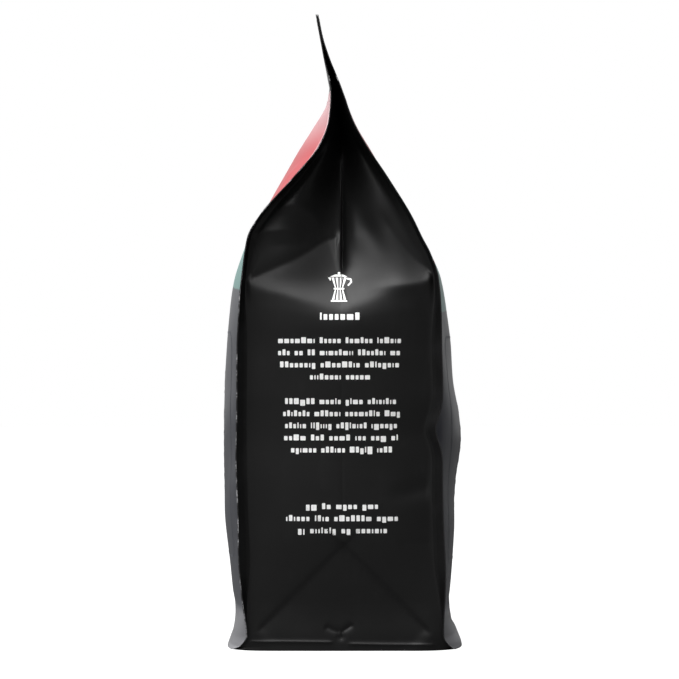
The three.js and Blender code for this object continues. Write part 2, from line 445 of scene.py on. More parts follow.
@dataclass(frozen=True)
class Fold:
    """A fold line in the film: a ridge if its height is above 0, and a valley if it is below."""

    line: tuple[Point, ...]
    height: float
    width: float
    right_width: float = 0.0
    crest: float = 0.5
    fade_in: float = 0.15
    fade_out: float = 0.15
    steps: int = 6

    def smooth_line(self) -> Array:
        """The fold's line as a smooth curve through its points.

        Returns:
            The curve's points as rows of (across, up).
        """
        points = np.array(self.line, float)
        ends = np.vstack((2 * points[0] - points[1], points, 2 * points[-1] - points[-2]))
        share = np.linspace(0, 1, self.steps, endpoint=False)[:, None]
        parts = []
        for a, b, c, d in zip(ends, ends[1:], ends[2:], ends[3:]):
            bend = (2 * a - 5 * b + 4 * c - d) * share**2 + (3 * b - a - 3 * c + d) * share**3
            parts.append(b + 0.5 * ((c - a) * share + bend))
        return np.vstack(parts + [points[-1:]])

    def relief(self, across: Array, up: Array) -> Array:
        """How far the fold lifts the film at each place.

        Args:
            across: The places' distances to the right.
            up: The places' heights.

        Returns:
            One lift outwards for each place.
        """
        curve = self.smooth_line()
        lengths = np.linalg.norm(np.diff(curve, axis=0), axis=1)
        starts = np.concatenate(([0.0], np.cumsum(lengths)[:-1]))
        nearest = np.full(across.shape, np.inf)
        side = np.zeros(across.shape)
        along = np.zeros(across.shape)
        for start, end, length, travelled in zip(curve, curve[1:], lengths, starts):
            step = (end - start) / length
            ahead = np.clip((across - start[0]) * step[0] + (up - start[1]) * step[1], 0, length)
            off_across = across - start[0] - ahead * step[0]
            off_up = up - start[1] - ahead * step[1]
            distance = np.hypot(off_across, off_up)
            closer = distance < nearest
            nearest = np.where(closer, distance, nearest)
            side = np.where(closer, off_across * step[1] - off_up * step[0], side)
            along = np.where(closer, travelled + ahead, along)
        width = np.where(side > 0, self.right_width or self.width, self.width)
        profile = np.exp(-(np.hypot(nearest, self.crest) - self.crest) / width)
        total = lengths.sum()
        opening = smoothstep(along, 0, self.fade_in * total) if self.fade_in else 1.0
        closing = 1 - smoothstep(along, (1 - self.fade_out) * total, total) if self.fade_out else 1.0
        return self.height * profile * opening * closing


@dataclass(frozen=True)
class Dent:
    """A soft hollow in the film, or a swelling if its height is above 0."""

    centre: Point
    height: float
    radii: Point
    turn_deg: float = 0.0

    def relief(self, across: Array, up: Array) -> Array:
        """How far the dent lifts the film at each place.

        Args:
            across: The places' distances to the right.
            up: The places' heights.

        Returns:
            One lift outwards for each place.
        """
        turn = math.radians(self.turn_deg)
        right = across - self.centre[0]
        above = up - self.centre[1]
        first = (right * math.cos(turn) + above * math.sin(turn)) / self.radii[0]
        second = (above * math.cos(turn) - right * math.sin(turn)) / self.radii[1]
        return self.height * np.exp(-(first**2) - second**2)


@dataclass(frozen=True)
class Ripple:
    """The uneven lie of film over its filling: a sum of long waves, drawn from a seed."""

    seed: int
    height: float
    shortest: float
    longest: float
    waves: int = 9

    def relief(self, across: Array, up: Array) -> Array:
        """How far the ripple lifts the film at each place.

        Args:
            across: The places' distances to the right.
            up: The places' heights.

        Returns:
            One lift outwards for each place.
        """
        draw = np.random.default_rng(self.seed)
        total = np.zeros(across.shape)
        for _ in range(self.waves):
            length = draw.uniform(self.shortest, self.longest)
            heading = draw.uniform(0, math.pi)
            phase = draw.uniform(0, 2 * math.pi)
            travel = across * math.cos(heading) + up * math.sin(heading)
            total += np.sin(2 * math.pi * travel / length + phase)
        return self.height * total / math.sqrt(self.waves)


Relief = Fold | Dent | Ripple


@dataclass(frozen=True)
class GussetFolds:
    """The folds of a side gusset. Each place is right of its middle, as one looks at it, and up."""

    mirrored: bool = False
    ripple_seed: int = 5

    def left_shoulder(self) -> list[Relief]:
        """The folds that fan out from the left shoulder corner.

        Returns:
            The folds and dents.
        """
        return [
            Fold(((-39.0, 148.5), (-31.0, 152.0), (-25.0, 154.8), (-19.0, 157.4), (-13.0, 161.0),
                  (-7.5, 164.6), (-3.0, 166.0), (-0.8, 165.8)),
                 -0.9, 2.4, right_width=4.5, crest=0.5, fade_in=0.1, fade_out=0.05),
            Fold(((-39.0, 148.5), (-32.0, 144.8), (-22.0, 142.6), (-12.8, 140.2), (-2.0, 138.0)),
                 0.75, 4.0, right_width=5.0, crest=1.5, fade_in=0.04, fade_out=0.5),
            Fold(((-37.2, 167.4), (-28.8, 168.6), (-20.8, 168.6), (-14.4, 166.2)),
                 0.55, 2.4, crest=0.5, fade_in=0.1, fade_out=0.3),
            Fold(((-31.0, 163.0), (-22.8, 163.4), (-15.6, 164.2), (-12.6, 167.4)),
                 -0.5, 3.0, crest=1.0, fade_in=0.3, fade_out=0.2),
            Fold(((-28.8, 175.6), (-21.6, 178.8), (-14.4, 177.4), (-9.8, 173.0), (-7.4, 168.2)),
                 0.7, 2.2, crest=0.8, fade_in=0.3, fade_out=0.3),
        ]

    def right_shoulder(self) -> list[Relief]:
        """The folds that fan out from the right shoulder corner, and the swelling above them.

        Returns:
            The folds and dents.
        """
        return [
            Fold(((37.4, 151.8), (32.2, 155.0), (28.2, 158.2), (23.4, 164.0), (18.6, 171.0), (13.4, 179.2)),
                 -0.65, 3.2, right_width=2.0, crest=0.6, fade_in=0.1, fade_out=0.3),
            Fold(((37.6, 150.6), (33.0, 147.9), (28.0, 147.0), (23.4, 146.8), (18.6, 146.4), (10.0, 145.0)),
                 0.95, 3.6, right_width=3.2, crest=0.9, fade_in=0.08, fade_out=0.5),
            Fold(((30.0, 147.0), (18.0, 146.0), (8.0, 144.5), (1.0, 142.5)),
                 0.5, 4.0, right_width=14.0, crest=1.5, fade_in=0.3, fade_out=0.05),
            Dent((14.0, 176.0), 0.8, (7.0, 14.0), 15.0),
        ]

    def crease(self) -> list[Relief]:
        """The deep groove of the tucked-in centre crease, the film beside it and the fold under it.

        Returns:
            The folds and dents.
        """
        return [
            Dent((11.4, 168.6), -0.9, (3.6, 8.0), 25.0),
            Fold(((4.4, 182.0), (5.2, 170.0), (6.0, 158.0)),
                 0.5, 2.4, crest=1.0, fade_in=0.4, fade_out=0.4),
            Fold(((0.2, 206.0), (0.2, 170.0), (0.1, 147.5)),
                 -4.0, 2.1, right_width=0.25, crest=0.1, fade_in=0.7, fade_out=0.14),
            Fold(((-0.6, 206.0), (-0.6, 164.0)),
                 -0.9, 0.3, right_width=3.2, crest=0.3, fade_in=0.5, fade_out=0.15),
            Fold(((-36.0, 138.5), (-22.0, 137.0), (-6.0, 134.5), (6.0, 134.5), (20.0, 137.0),
                  (34.0, 139.0)),
                 0.45, 12.0, right_width=6.0, crest=2.0, fade_in=0.1, fade_out=0.1),
        ]

    def body(self) -> list[Relief]:
        """The faint crease down the middle, the soft dents at both sides and the film's uneven lie.

        Returns:
            The folds and dents.
        """
        return [
            Fold(((-0.4, 136.0), (0.0, 96.0), (0.2, 43.0)), -0.12, 0.5, crest=0.2),
            Dent((31.0, 65.0), -0.7, (9.0, 3.4), 12.0),
            Dent((28.0, 56.0), 0.35, (9.0, 5.0)),
            Fold(((23.0, 43.6), (31.0, 43.0), (39.0, 43.4)), -0.2, 1.2),
            Dent((-29.0, 78.0), 0.35, (7.0, 14.0)),
            Dent((-31.0, 54.0), -0.35, (6.0, 10.0)),
            Ripple(self.ripple_seed, height=0.12, shortest=24.0, longest=60.0),
        ]

    def foot(self) -> list[Relief]:
        """The two slanting folds over the base seal, the small folds between them and the hem's ridge.

        Returns:
            The folds and dents.
        """
        return [
            Fold(((0.4, 42.6), (-17.2, 24.6), (-34.9, 6.6)),
                 -0.8, 8.0, right_width=0.8, crest=0.15, fade_in=0.0, fade_out=0.1),
            Fold(((0.4, 42.6), (18.4, 24.2), (36.4, 5.8)),
                 -1.1, 0.65, right_width=9.0, crest=0.15, fade_in=0.0, fade_out=0.1),
            Fold(((-7.0, 10.0), (-3.0, 8.2), (-0.4, 7.6)), -0.7, 0.9, crest=0.3),
            Fold(((-0.8, 7.2), (2.2, 9.2), (4.6, 10.8)), -0.8, 0.8, crest=0.3),
            Dent((-0.4, 5.6), -0.6, (1.6, 1.4)),
            Fold(((-38.0, 3.7), (-20.0, 3.7), (-2.6, 3.5)),
                 0.42, 0.5, crest=0.2, fade_in=0.05, fade_out=0.08),
            Fold(((1.6, 2.9), (15.0, 2.6), (38.0, 2.4)),
                 0.42, 0.5, crest=0.2, fade_in=0.08, fade_out=0.05),
        ]

    def relief(self, across: Array, up: Array) -> Array:
        """How far all the folds together lift the gusset at each place.

        Args:
            across: The places' distances to the back.
            up: The places' heights.

        Returns:
            One lift outwards for each place.
        """
        place = -across if self.mirrored else across
        parts = self.left_shoulder() + self.right_shoulder() + self.crease() + self.body() + self.foot()
        return sum(part.relief(place, up) for part in parts)


@dataclass(frozen=True)
class PanelFolds:
    """The folds and dents of the front or back panel, the zip's lines and the gas valve."""

    seed: int
    shoulder_height: float
    zip_height: float = 222.0
    zip_gap: float = 2.6
    zip_line_width: float = 0.6
    zip_line_height: float = 0.22
    valve_centre: Point | None = None
    valve_radius: float = 9.5
    valve_disc_height: float = 0.45
    valve_disc_inset: float = 0.8
    valve_disc_outset: float = 1.6
    valve_rim_height: float = 0.35
    valve_rim_inset: float = 0.6
    valve_rim_width: float = 0.8
    valve_hollow_depth: float = 0.25
    valve_hollow_radius: float = 3.2
    half_width: float = 62.0

    def folds(self) -> list[Relief]:
        """The folds and dents of the shoulder, of both sides and of the base, and the film's waves.

        Returns:
            The folds and dents.
        """
        high = self.shoulder_height
        wide = self.half_width
        return [
            Ripple(self.seed, height=0.32, shortest=26.0, longest=80.0),
            Fold(((-wide, high - 4), (-30.0, high + 1.5), (0.0, high + 2.5), (30.0, high + 1.0),
                  (wide, high - 5)),
                 0.25, 5.0, crest=1.5),
            Fold(((-wide + 4, high + 3), (-48.0, high + 16), (-40.0, high + 34)), 0.8, 3.5, crest=1.0),
            Fold(((wide - 4, high + 2), (49.0, high + 18), (43.0, high + 30)), 0.8, 3.5, crest=1.0),
            Fold(((-wide + 7, 24.0), (-wide + 9, 70.0), (-wide + 8, 120.0)),
                 -0.5, 3.0, crest=1.5, fade_in=0.4, fade_out=0.4),
            Fold(((wide - 8, 30.0), (wide - 9, 62.0), (wide - 7, 128.0)),
                 -0.5, 3.0, crest=1.5, fade_in=0.4, fade_out=0.4),
            Dent((-34.0, high - 30), -0.8, (14.0, 7.0), 20.0),
            Dent((30.0, 48.0), 0.6, (16.0, 10.0), -15.0),
            Fold(((-52.0, 10.0), (-26.0, 16.0), (0.0, 17.5), (28.0, 15.5), (53.0, 10.0)),
                 -0.35, 2.2, crest=0.8),
        ]

    def zip_relief(self, up: Array) -> Array:
        """The two raised lines that the zip behind the film presses out.

        Args:
            up: The places' heights.

        Returns:
            One lift outwards for each place.
        """
        lower = bell(up, self.zip_height, self.zip_line_width)
        upper = bell(up, self.zip_height + self.zip_gap, self.zip_line_width)
        return self.zip_line_height * (lower + upper)

    def valve_relief(self, across: Array, up: Array) -> Array:
        """The disc, the rim and the hollow of the gas valve that is welded behind the film.

        Args:
            across: The places' distances to the right.
            up: The places' heights.

        Returns:
            One lift outwards for each place.
        """
        if self.valve_centre is None:
            return np.zeros(across.shape)
        away = np.hypot(across - self.valve_centre[0], up - self.valve_centre[1])
        inside = self.valve_radius - self.valve_disc_inset
        outside = self.valve_radius + self.valve_disc_outset
        disc = self.valve_disc_height * (1 - smoothstep(away, inside, outside))
        rim_radius = self.valve_radius - self.valve_rim_inset
        rim = self.valve_rim_height * bell(away, rim_radius, self.valve_rim_width)
        hollow = self.valve_hollow_depth * bell(away, 0.0, self.valve_hollow_radius)
        return disc + rim - hollow

    def relief(self, across: Array, up: Array) -> Array:
        """How far all the folds together lift the panel at each place.

        Args:
            across: The places' distances towards +X.
            up: The places' heights.

        Returns:
            One lift outwards for each place.
        """
        total = sum(part.relief(across, up) for part in self.folds())
        return total + self.zip_relief(up) + self.valve_relief(across, up)


@dataclass
class FilmShell:
    """The bag's film as one closed skin: columns round each section, rows up the bag."""

    form: BagForm
    unit: float
    near_folds: GussetFolds = GussetFolds()
    far_folds: GussetFolds = GussetFolds(mirrored=True, ripple_seed=11)
    front_folds: PanelFolds = PanelFolds(seed=21, shoulder_height=166.0)
    back_folds: PanelFolds = PanelFolds(seed=34, shoulder_height=158.0, valve_centre=(0.0, 176.0))
    panel_steps: int = 30
    seal_steps: int = 3
    near_gusset_steps: int = 56
    far_gusset_steps: int = 30
    crowding: float = 0.1
    seam_width: float = 2.6
    gusset_closes_from: float = 196.0
    gusset_closes_to: float = 214.0
    panel_stretch: Stretch = Stretch(0.0, 12.0, 226.0, 240.0)
    fillet: float = 0.8
    fillet_width: float = 1.6
    fillet_stretch: Stretch = Stretch(6.0, 20.0, 132.0, 152.0)
    knock_height: float = 89.0
    knock_half_height: float = 7.0
    knock_depth: float = 2.9
    knock_full_within: float = 2.0
    knock_ends_at: float = 9.0
    rib_pitch: float = 1.6
    rib_depth: float = 0.1
    rib_start_gap: float = 0.8
    rib_end_gap: float = 1.2
    rib_fade: float = 0.6
    seal_stretch: Stretch = Stretch(14.0, 40.0, 190.0, 215.0)
    seal_wave: float = 0.14
    long_wave: float = 11.3
    short_wave: float = 5.9
    short_wave_share: float = 0.6
    short_wave_phase: float = 2.3
    near_phase: float = 1.7
    front_phase: float = 2.9
    seal_flare: float = 0.35
    flare_fades_from: float = 140.0
    flare_fades_to: float = 156.0
    low_flare: float = 0.6
    low_flare_height: float = 35.0
    low_flare_half_height: float = 14.0
    base_rings: tuple[Point, ...] = (
        (0.985, 0.0), (0.965, 0.35), (0.93, 0.5), (0.7, 0.45), (0.4, 0.5), (0.15, 0.55)
    )
    row_zones: tuple[Point, ...] = (
        (5.6, 0.28),
        (12.0, 0.6),
        (46.0, 0.85),
        (133.0, 1.05),
        (190.0, 0.72),
        (242.0, 0.95),
        (255.0, 0.32),
    )

    def heights(self) -> Array:
        """The rows' heights, closer together at the hem, at the shoulder and in the top seal.

        Returns:
            The heights, from the base up.
        """
        levels = [0.0]
        for top, pitch in self.row_zones:
            start = levels[-1]
            steps = max(1, round((top - start) / pitch))
            levels += [lerp(start, top, i / steps) for i in range(1, steps + 1)]
        return np.array(levels)

    def shares(self, steps: int) -> Array:
        """Shares of the way across a gusset half, closer together at both ends."""
        even = np.linspace(0, 1, steps + 1)
        return even - self.crowding * np.sin(2 * math.pi * even)

    def quarter(self, sizes: Measures, rows: Array, near: bool, front: bool) -> tuple[Array, Array, Array]:
        """A quarter of every section, from the panel's middle round the seal to the gusset's crease.

        Args:
            sizes: The sections' measures.
            rows: The rows' heights.
            near: Whether the quarter is on the gusset at +X.
            front: Whether the quarter belongs to the front panel.

        Returns:
            The points as rows by columns by (across, back), the columns' zones, and how far each
            column lies from its seam, in millimetres.
        """
        side = -1.0 if front else 1.0
        middle = sizes.front_middle if front else sizes.back_middle
        root = sizes.front_root if front else sizes.back_root
        edge = sizes.front if front else sizes.back
        panel = np.sin(math.pi / 2 * np.linspace(0, 1, self.panel_steps + 1))
        crown = (middle - root)[:, None] * (1 - panel ** sizes.panel_fullness[:, None])
        panel_across = sizes.root_across[:, None] * panel
        panel_back = root[:, None] + crown
        out = np.linspace(0, 1, self.seal_steps + 1)[1:]
        seal_across = lerp(sizes.root_across[:, None], sizes.seal_across[:, None], out)
        seal_back = lerp(root[:, None], edge[:, None], out)
        thickness = side * self.form.seal_thickness
        inner = (root - thickness)[:, None]
        steps = self.near_gusset_steps if near else self.far_gusset_steps
        share = self.shares(steps)
        gusset_across = sizes.root_across[:, None] - self.form.gusset_depth(sizes, rows, share, front)
        gusset_back = inner - (inner - sizes.crease[:, None]) * share
        across = np.hstack((panel_across, seal_across, seal_across[:, ::-1], gusset_across))
        back = np.hstack((panel_back, seal_back, seal_back[:, ::-1] - thickness, gusset_back))
        zones = (
            [Zone.PANEL] * len(panel)
            + [Zone.SEAL_OUTSIDE] * len(out)
            + [Zone.SEAL_INSIDE] * len(out)
            + [Zone.GUSSET] * len(share)
        )
        away = np.concatenate(
            (
                (1 - panel) * self.form.panel_between_seals / 2,
                out * self.form.seal_width,
                out[::-1] * self.form.seal_width,
                share * self.form.gusset_half_width,
            )
        )
        across = across if near else -across
        return np.stack((across, back), axis=2), np.array(zones), away

    def fold_quarter(
        self, points: Array, zones: Array, away: Array, rows: Array, near: bool, front: bool
    ) -> None:
        """Lifts a quarter's points by the folds of its panel and gusset, and waves its seal.

        Args:
            points: The quarter's points, which are moved in place.
            zones: The columns' zones.
            away: How far each column lies from its seam.
            rows: The rows' heights.
            near: Whether the quarter is on the gusset at +X.
            front: Whether the quarter belongs to the front panel.
        """
        up = np.broadcast_to(rows[:, None], points.shape[:2])
        outward = 1.0 if near else -1.0
        side = -1.0 if front else 1.0
        seam = smoothstep(away, 0.0, self.seam_width)

        gusset = zones == Zone.GUSSET
        folds = self.near_folds if near else self.far_folds
        open_share = 1 - smoothstep(rows, self.gusset_closes_from, self.gusset_closes_to)
        lift = folds.relief(points[:, gusset, 1], up[:, gusset]) * seam[gusset] * open_share[:, None]
        points[:, gusset, 0] += outward * lift

        inside = gusset | (zones == Zone.SEAL_INSIDE)
        fill = (np.hypot(away[inside], self.fillet_width) - away[inside]) / self.fillet_width
        bulging = self.fillet_stretch.share(rows)
        points[:, inside, 0] += outward * self.fillet * bulging[:, None] * fill

        panel = zones == Zone.PANEL
        panel_folds = self.front_folds if front else self.back_folds
        lift = panel_folds.relief(points[:, panel, 0], up[:, panel])
        settled = self.panel_stretch.share(rows)
        points[:, panel, 1] += side * lift * seam[panel] * settled[:, None]

        seal = (zones == Zone.SEAL_OUTSIDE) | (zones == Zone.SEAL_INSIDE)
        out = away[seal] / self.form.seal_width
        points[:, seal, 1] += self.wave(rows, near, front)[:, None] * out
        points[:, seal, 1] += side * self.flare(rows)[:, None] * out

    def wave(self, rows: Array, near: bool, front: bool) -> Array:
        """How far back a seal's free edge waves.

        Args:
            rows: The rows' heights.
            near: Whether the seal is on the gusset at +X.
            front: Whether the seal is the front panel's.

        Returns:
            One distance for each row.
        """
        phase = self.near_phase * near + self.front_phase * front
        long_wave = np.sin(rows / self.long_wave + phase)
        short_wave = np.sin(rows / self.short_wave + self.short_wave_phase * phase)
        both = long_wave + self.short_wave_share * short_wave
        return self.seal_wave * both * self.seal_stretch.share(rows)

    def flare(self, rows: Array) -> Array:
        """How far a seal's free edge flares out, to the front or the back.

        Args:
            rows: The rows' heights.

        Returns:
            One distance for each row.
        """
        fading = 1 - smoothstep(rows, self.flare_fades_from, self.flare_fades_to)
        even = self.seal_flare * self.seal_stretch.share(rows) * fading
        return even + self.low_flare * bell(rows, self.low_flare_height, self.low_flare_half_height)

    def knock(self, points: Array, zones: Array, away: Array, rows: Array) -> None:
        """Bends the near back seal's edge in where it was knocked.

        Args:
            points: The quarter's points, which are moved in place.
            zones: The columns' zones.
            away: How far each column lies from its seam.
            rows: The rows' heights.
        """
        dent = self.knock_depth * bell(rows, self.knock_height, self.knock_half_height)
        on_panel = 1 - smoothstep(away, self.knock_full_within, self.knock_ends_at)
        on_gusset = 1 - smoothstep(away, 0.0, self.form.gusset_half_width)
        beside = np.where(zones == Zone.GUSSET, on_gusset, 1.0)
        share = np.where(zones == Zone.PANEL, on_panel, beside)
        points[:, :, 1] -= dent[:, None] * share

    def rib(self, points: Array, rows: Array) -> None:
        """Presses the level ribs of the sealing bar into the top seal.

        Args:
            points: The whole ring's points, which are moved in place.
            rows: The rows' heights.
        """
        start = self.form.top_seal_height + self.rib_start_gap
        end = self.form.standing_height - self.rib_end_gap
        pressed = Stretch(start, start + self.rib_fade, end - self.rib_fade, end).share(rows)
        ribs = np.sin(2 * math.pi * rows / self.rib_pitch)
        points[:, :, 1] += (self.rib_depth * pressed * ribs)[:, None]

    def sections(self) -> tuple[Array, Array, Array]:
        """All sections, anticlockwise from above, from the near gusset's crease.

        Returns:
            The points as rows by columns by (across, back), the columns' zones, and the rows'
            heights.
        """
        rows = self.heights()
        sizes = self.form.measures(rows)
        parts = []
        for near, front in ((True, False), (False, False), (False, True), (True, True)):
            points, zones, away = self.quarter(sizes, rows, near, front)
            self.fold_quarter(points, zones, away, rows, near, front)
            if near and not front:
                self.knock(points, zones, away, rows)
            if near != front:
                points, zones = points[:, ::-1], zones[::-1]
            parts.append((points[:, 1:], zones[1:]))
        ring = np.concatenate([points for points, _ in parts], axis=1)
        ring[:, :, 1] += self.form.twist(ring[:, :, 0], rows[:, None])
        self.rib(ring, rows)
        return ring, np.concatenate([zones for _, zones in parts]), rows

    def coat(self, zones: Array) -> Array:
        """The finish of each strip of faces, from a column to the next one round.

        Args:
            zones: The columns' zones.

        Returns:
            The finish of the strip after each column.
        """
        following = np.roll(zones, -1)
        lowest = np.minimum(zones, following)
        highest = np.maximum(zones, following)
        coats = np.full(len(zones), Coat.GUSSET)
        coats[highest <= Zone.SEAL_OUTSIDE] = Coat.PANEL
        coats[(lowest == Zone.SEAL_OUTSIDE) & (highest == Zone.SEAL_INSIDE)] = Coat.CUT_EDGE
        coats[(lowest == Zone.SEAL_INSIDE) & (highest <= Zone.GUSSET)] = Coat.SEAL
        return coats

    def build(self) -> bpy.types.Object:
        """Builds the film's mesh.

        Returns:
            The new object, with its faces set to the finishes of Coat.
        """
        ring, zones, rows = self.sections()
        count = ring.shape[1]
        upright = np.broadcast_to(rows[:, None, None], (len(rows), count, 1))
        shell = np.concatenate((ring, upright), axis=2).reshape(-1, 3)
        first = np.arange(len(rows) - 1)[:, None] * count
        low = (first + np.arange(count)).ravel()
        following = (first + (np.arange(count) + 1) % count).ravel()
        faces = np.column_stack((low, following, following + count, low + count)).tolist()
        coats = np.tile(self.coat(zones), len(rows) - 1).tolist()
        base, base_faces = self.base(shell[:count], len(shell))
        faces += base_faces
        coats += [int(Coat.BASE)] * len(base_faces)
        faces.append(list(range((len(rows) - 1) * count, len(rows) * count)))
        coats.append(int(Coat.CUT_EDGE))
        mesh = bpy.data.meshes.new("coffee_bag_film")
        mesh.from_pydata((np.vstack((shell, base)) * self.unit).tolist(), [], faces)
        mesh.polygons.foreach_set("material_index", coats)
        mesh.polygons.foreach_set("use_smooth", [True] * len(faces))
        self.sharpen(mesh, zones, count, len(shell))
        mesh.update()
        made = bpy.data.objects.new("coffee_bag_film", mesh)
        bpy.context.scene.collection.objects.link(made)
        return made

    def base(self, outline: Array, first: int) -> tuple[Array, list[list[int]]]:
        """The base panel, as rings that step in from the hem and a middle face.

        Args:
            outline: The lowest section's points.
            first: The number that the base's first new vertex gets.

        Returns:
            The new vertices, and the faces that shut the bag below.
        """
        count = len(outline)
        rings = []
        for inset, rise in self.base_rings:
            rings.append(np.column_stack((outline[:, :2] * inset, np.full(count, rise))))
        faces = []
        outer = np.arange(count)
        for i in range(len(rings)):
            inner = first + i * count + np.arange(count)
            faces += np.column_stack((outer, inner, np.roll(inner, -1), np.roll(outer, -1))).tolist()
            outer = inner
        faces.append(outer[::-1].tolist())
        return np.vstack(rings), faces

    def sharpen(self, mesh: bpy.types.Mesh, zones: Array, count: int, shell_size: int) -> None:
        """Marks the seals' cut edges and the bag's top and bottom rims as sharp.

        Args:
            mesh: The film's mesh.
            zones: The columns' zones.
            count: How many columns there are.
            shell_size: How many of the mesh's vertices are in its rows and columns.
        """
        changes = (zones != np.roll(zones, 1)) | (zones != np.roll(zones, -1))
        on_rim = np.isin(zones, (Zone.SEAL_OUTSIDE, Zone.SEAL_INSIDE)) & changes
        ends = np.zeros(len(mesh.edges) * 2, dtype=np.int32)
        mesh.edges.foreach_get("vertices", ends)
        ends = ends.reshape(-1, 2)
        in_shell = (ends < shell_size).all(axis=1)
        upright = in_shell & (ends[:, 0] % count == ends[:, 1] % count)
        level = in_shell & (ends[:, 0] // count == ends[:, 1] // count)
        row = ends[:, 0] // count
        rim = level & ((row == 0) | (row == shell_size // count - 1))
        sharp = (upright & on_rim[ends[:, 0] % count]) | rim
        marks = mesh.attributes.new("sharp_edge", "BOOLEAN", "EDGE")
        marks.data.foreach_set("value", sharp)


@dataclass(frozen=True)
class Value:
    """A number in a shader, as a socket that Python's operators add Math nodes to."""

    sheet: "ShaderSheet"
    socket: bpy.types.NodeSocket

    def math(self, operation: str, first: Any, second: Any = 0.0) -> "Value":
        """Adds one Math node on two numbers."""
        return self.sheet.value("ShaderNodeMath", {"operation": operation}, {0: first, 1: second})

    def __add__(self, other: Any) -> "Value":
        """The sum."""
        return self.math("ADD", self, other)

    def __radd__(self, other: Any) -> "Value":
        """The sum, with the number first."""
        return self.math("ADD", other, self)

    def __sub__(self, other: Any) -> "Value":
        """The difference."""
        return self.math("SUBTRACT", self, other)

    def __rsub__(self, other: Any) -> "Value":
        """The difference, with the number first."""
        return self.math("SUBTRACT", other, self)

    def __mul__(self, other: Any) -> "Value":
        """The product."""
        return self.math("MULTIPLY", self, other)

    def __rmul__(self, other: Any) -> "Value":
        """The product, with the number first."""
        return self.math("MULTIPLY", other, self)

    def __truediv__(self, other: Any) -> "Value":
        """The quotient."""
        return self.math("DIVIDE", self, other)

    def __rtruediv__(self, other: Any) -> "Value":
        """The quotient, with the number first."""
        return self.math("DIVIDE", other, self)

    def sine(self) -> "Value":
        """The sine of the number."""
        return self.math("SINE", self)

    def step(self, low: Any, high: Any) -> "Value":
        """0 below low, 1 above high, and an even S-curve between them.

        Args:
            low: Where the curve starts to rise.
            high: Where it reaches 1.

        Returns:
            The curve's value.
        """
        settings = {"interpolation_type": "SMOOTHSTEP"}
        inputs = {0: self, 1: low, 2: high, 3: 0.0, 4: 1.0}
        return self.sheet.value("ShaderNodeMapRange", settings, inputs)


@dataclass(frozen=True)
class Place:
    """Where the shaded point lies, in film millimetres."""

    vector: bpy.types.NodeSocket
    across: Value
    back: Value
    up: Value


class ShaderSheet:
    """One material's nodes, round one Principled BSDF."""

    def __init__(self, name: str, unit: float) -> None:
        """Starts a material.

        Args:
            name: The material's name.
            unit: The metres in one film millimetre.
        """
        self.material = bpy.data.materials.new(name)
        self.material.use_nodes = True
        self.tree = self.material.node_tree
        self.surface = self.tree.nodes["Principled BSDF"]
        self.unit = unit

    def node(self, kind: str, settings: Mapping[str, Any], inputs: Mapping[Any, Any]) -> bpy.types.Node:
        """Adds a node.

        Args:
            kind: The node's type.
            settings: The node's own settings, which are set first.
            inputs: The values or links of its sockets, by number or name.

        Returns:
            The new node.
        """
        made = self.tree.nodes.new(kind)
        for key, setting in settings.items():
            setattr(made, key, setting)
        for key, given in inputs.items():
            source = given.socket if isinstance(given, Value) else given
            if isinstance(source, bpy.types.NodeSocket):
                self.tree.links.new(source, made.inputs[key])
            else:
                made.inputs[key].default_value = source
        return made

    def value(self, kind: str, settings: Mapping[str, Any], inputs: Mapping[Any, Any]) -> Value:
        """Adds a node and gives its first output as a number."""
        return Value(self, self.node(kind, settings, inputs).outputs[0])

    def place(self) -> Place:
        """The shaded point's place on the bag.

        Returns:
            The place, as a vector and as its three numbers.
        """
        spot = self.node("ShaderNodeTexCoord", {}, {}).outputs["Object"]
        inputs = {0: spot, "Scale": 1 / self.unit}
        vector = self.node("ShaderNodeVectorMath", {"operation": "SCALE"}, inputs).outputs[0]
        split = self.node("ShaderNodeSeparateXYZ", {}, {0: vector})
        return Place(vector, *(Value(self, output) for output in split.outputs))

    def noise(self, place: Place, size: float, detail: float, longer: float = 1.0) -> Value:
        """Smooth noise from 0 to 1.

        Args:
            place: Where the shaded point lies.
            size: The width of its patches, in film millimetres.
            detail: How many finer layers it has.
            longer: How many times longer its patches are upwards.

        Returns:
            The noise as a number.
        """
        shrink = (1 / size, 1 / size, 1 / (size * longer))
        inputs = {0: place.vector, 1: shrink}
        vector = self.node("ShaderNodeVectorMath", {"operation": "MULTIPLY"}, inputs).outputs[0]
        return self.value("ShaderNodeTexNoise", {}, {"Vector": vector, "Scale": 1.0, "Detail": detail})

    def mix(self, share: Any, first: Any, second: Any) -> bpy.types.NodeSocket:
        """Mixes two colours by a share.

        Args:
            share: How much of the second colour there is.
            first: A colour, or the socket that gives one.
            second: A colour, or the socket that gives one.

        Returns:
            The socket of the mixed colour.
        """
        inputs = {0: share}
        for key, colour in {6: first, 7: second}.items():
            inputs[key] = (*colour, 1.0) if isinstance(colour, tuple) else colour
        return self.node("ShaderNodeMix", {"data_type": "RGBA"}, inputs).outputs[2]

    def bump(self, height: Value, distance: float, strength: float) -> None:
        """Gives the surface a fine relief.

        Args:
            height: The relief, from 0 to 1.
            distance: The relief's height, in film millimetres.
            strength: How much of it shows.
        """
        inputs = {"Height": height, "Distance": distance * self.unit, "Strength": strength}
        self.link("Normal", self.node("ShaderNodeBump", {}, inputs).outputs[0])

    def link(self, name: str, source: Any) -> None:
        """Feeds one of the surface's own sockets."""
        socket = source.socket if isinstance(source, Value) else source
        self.tree.links.new(socket, self.surface.inputs[name])

    def set(self, name: str, setting: Any) -> None:
        """Sets one of the surface's own sockets."""
        self.surface.inputs[name].default_value = setting


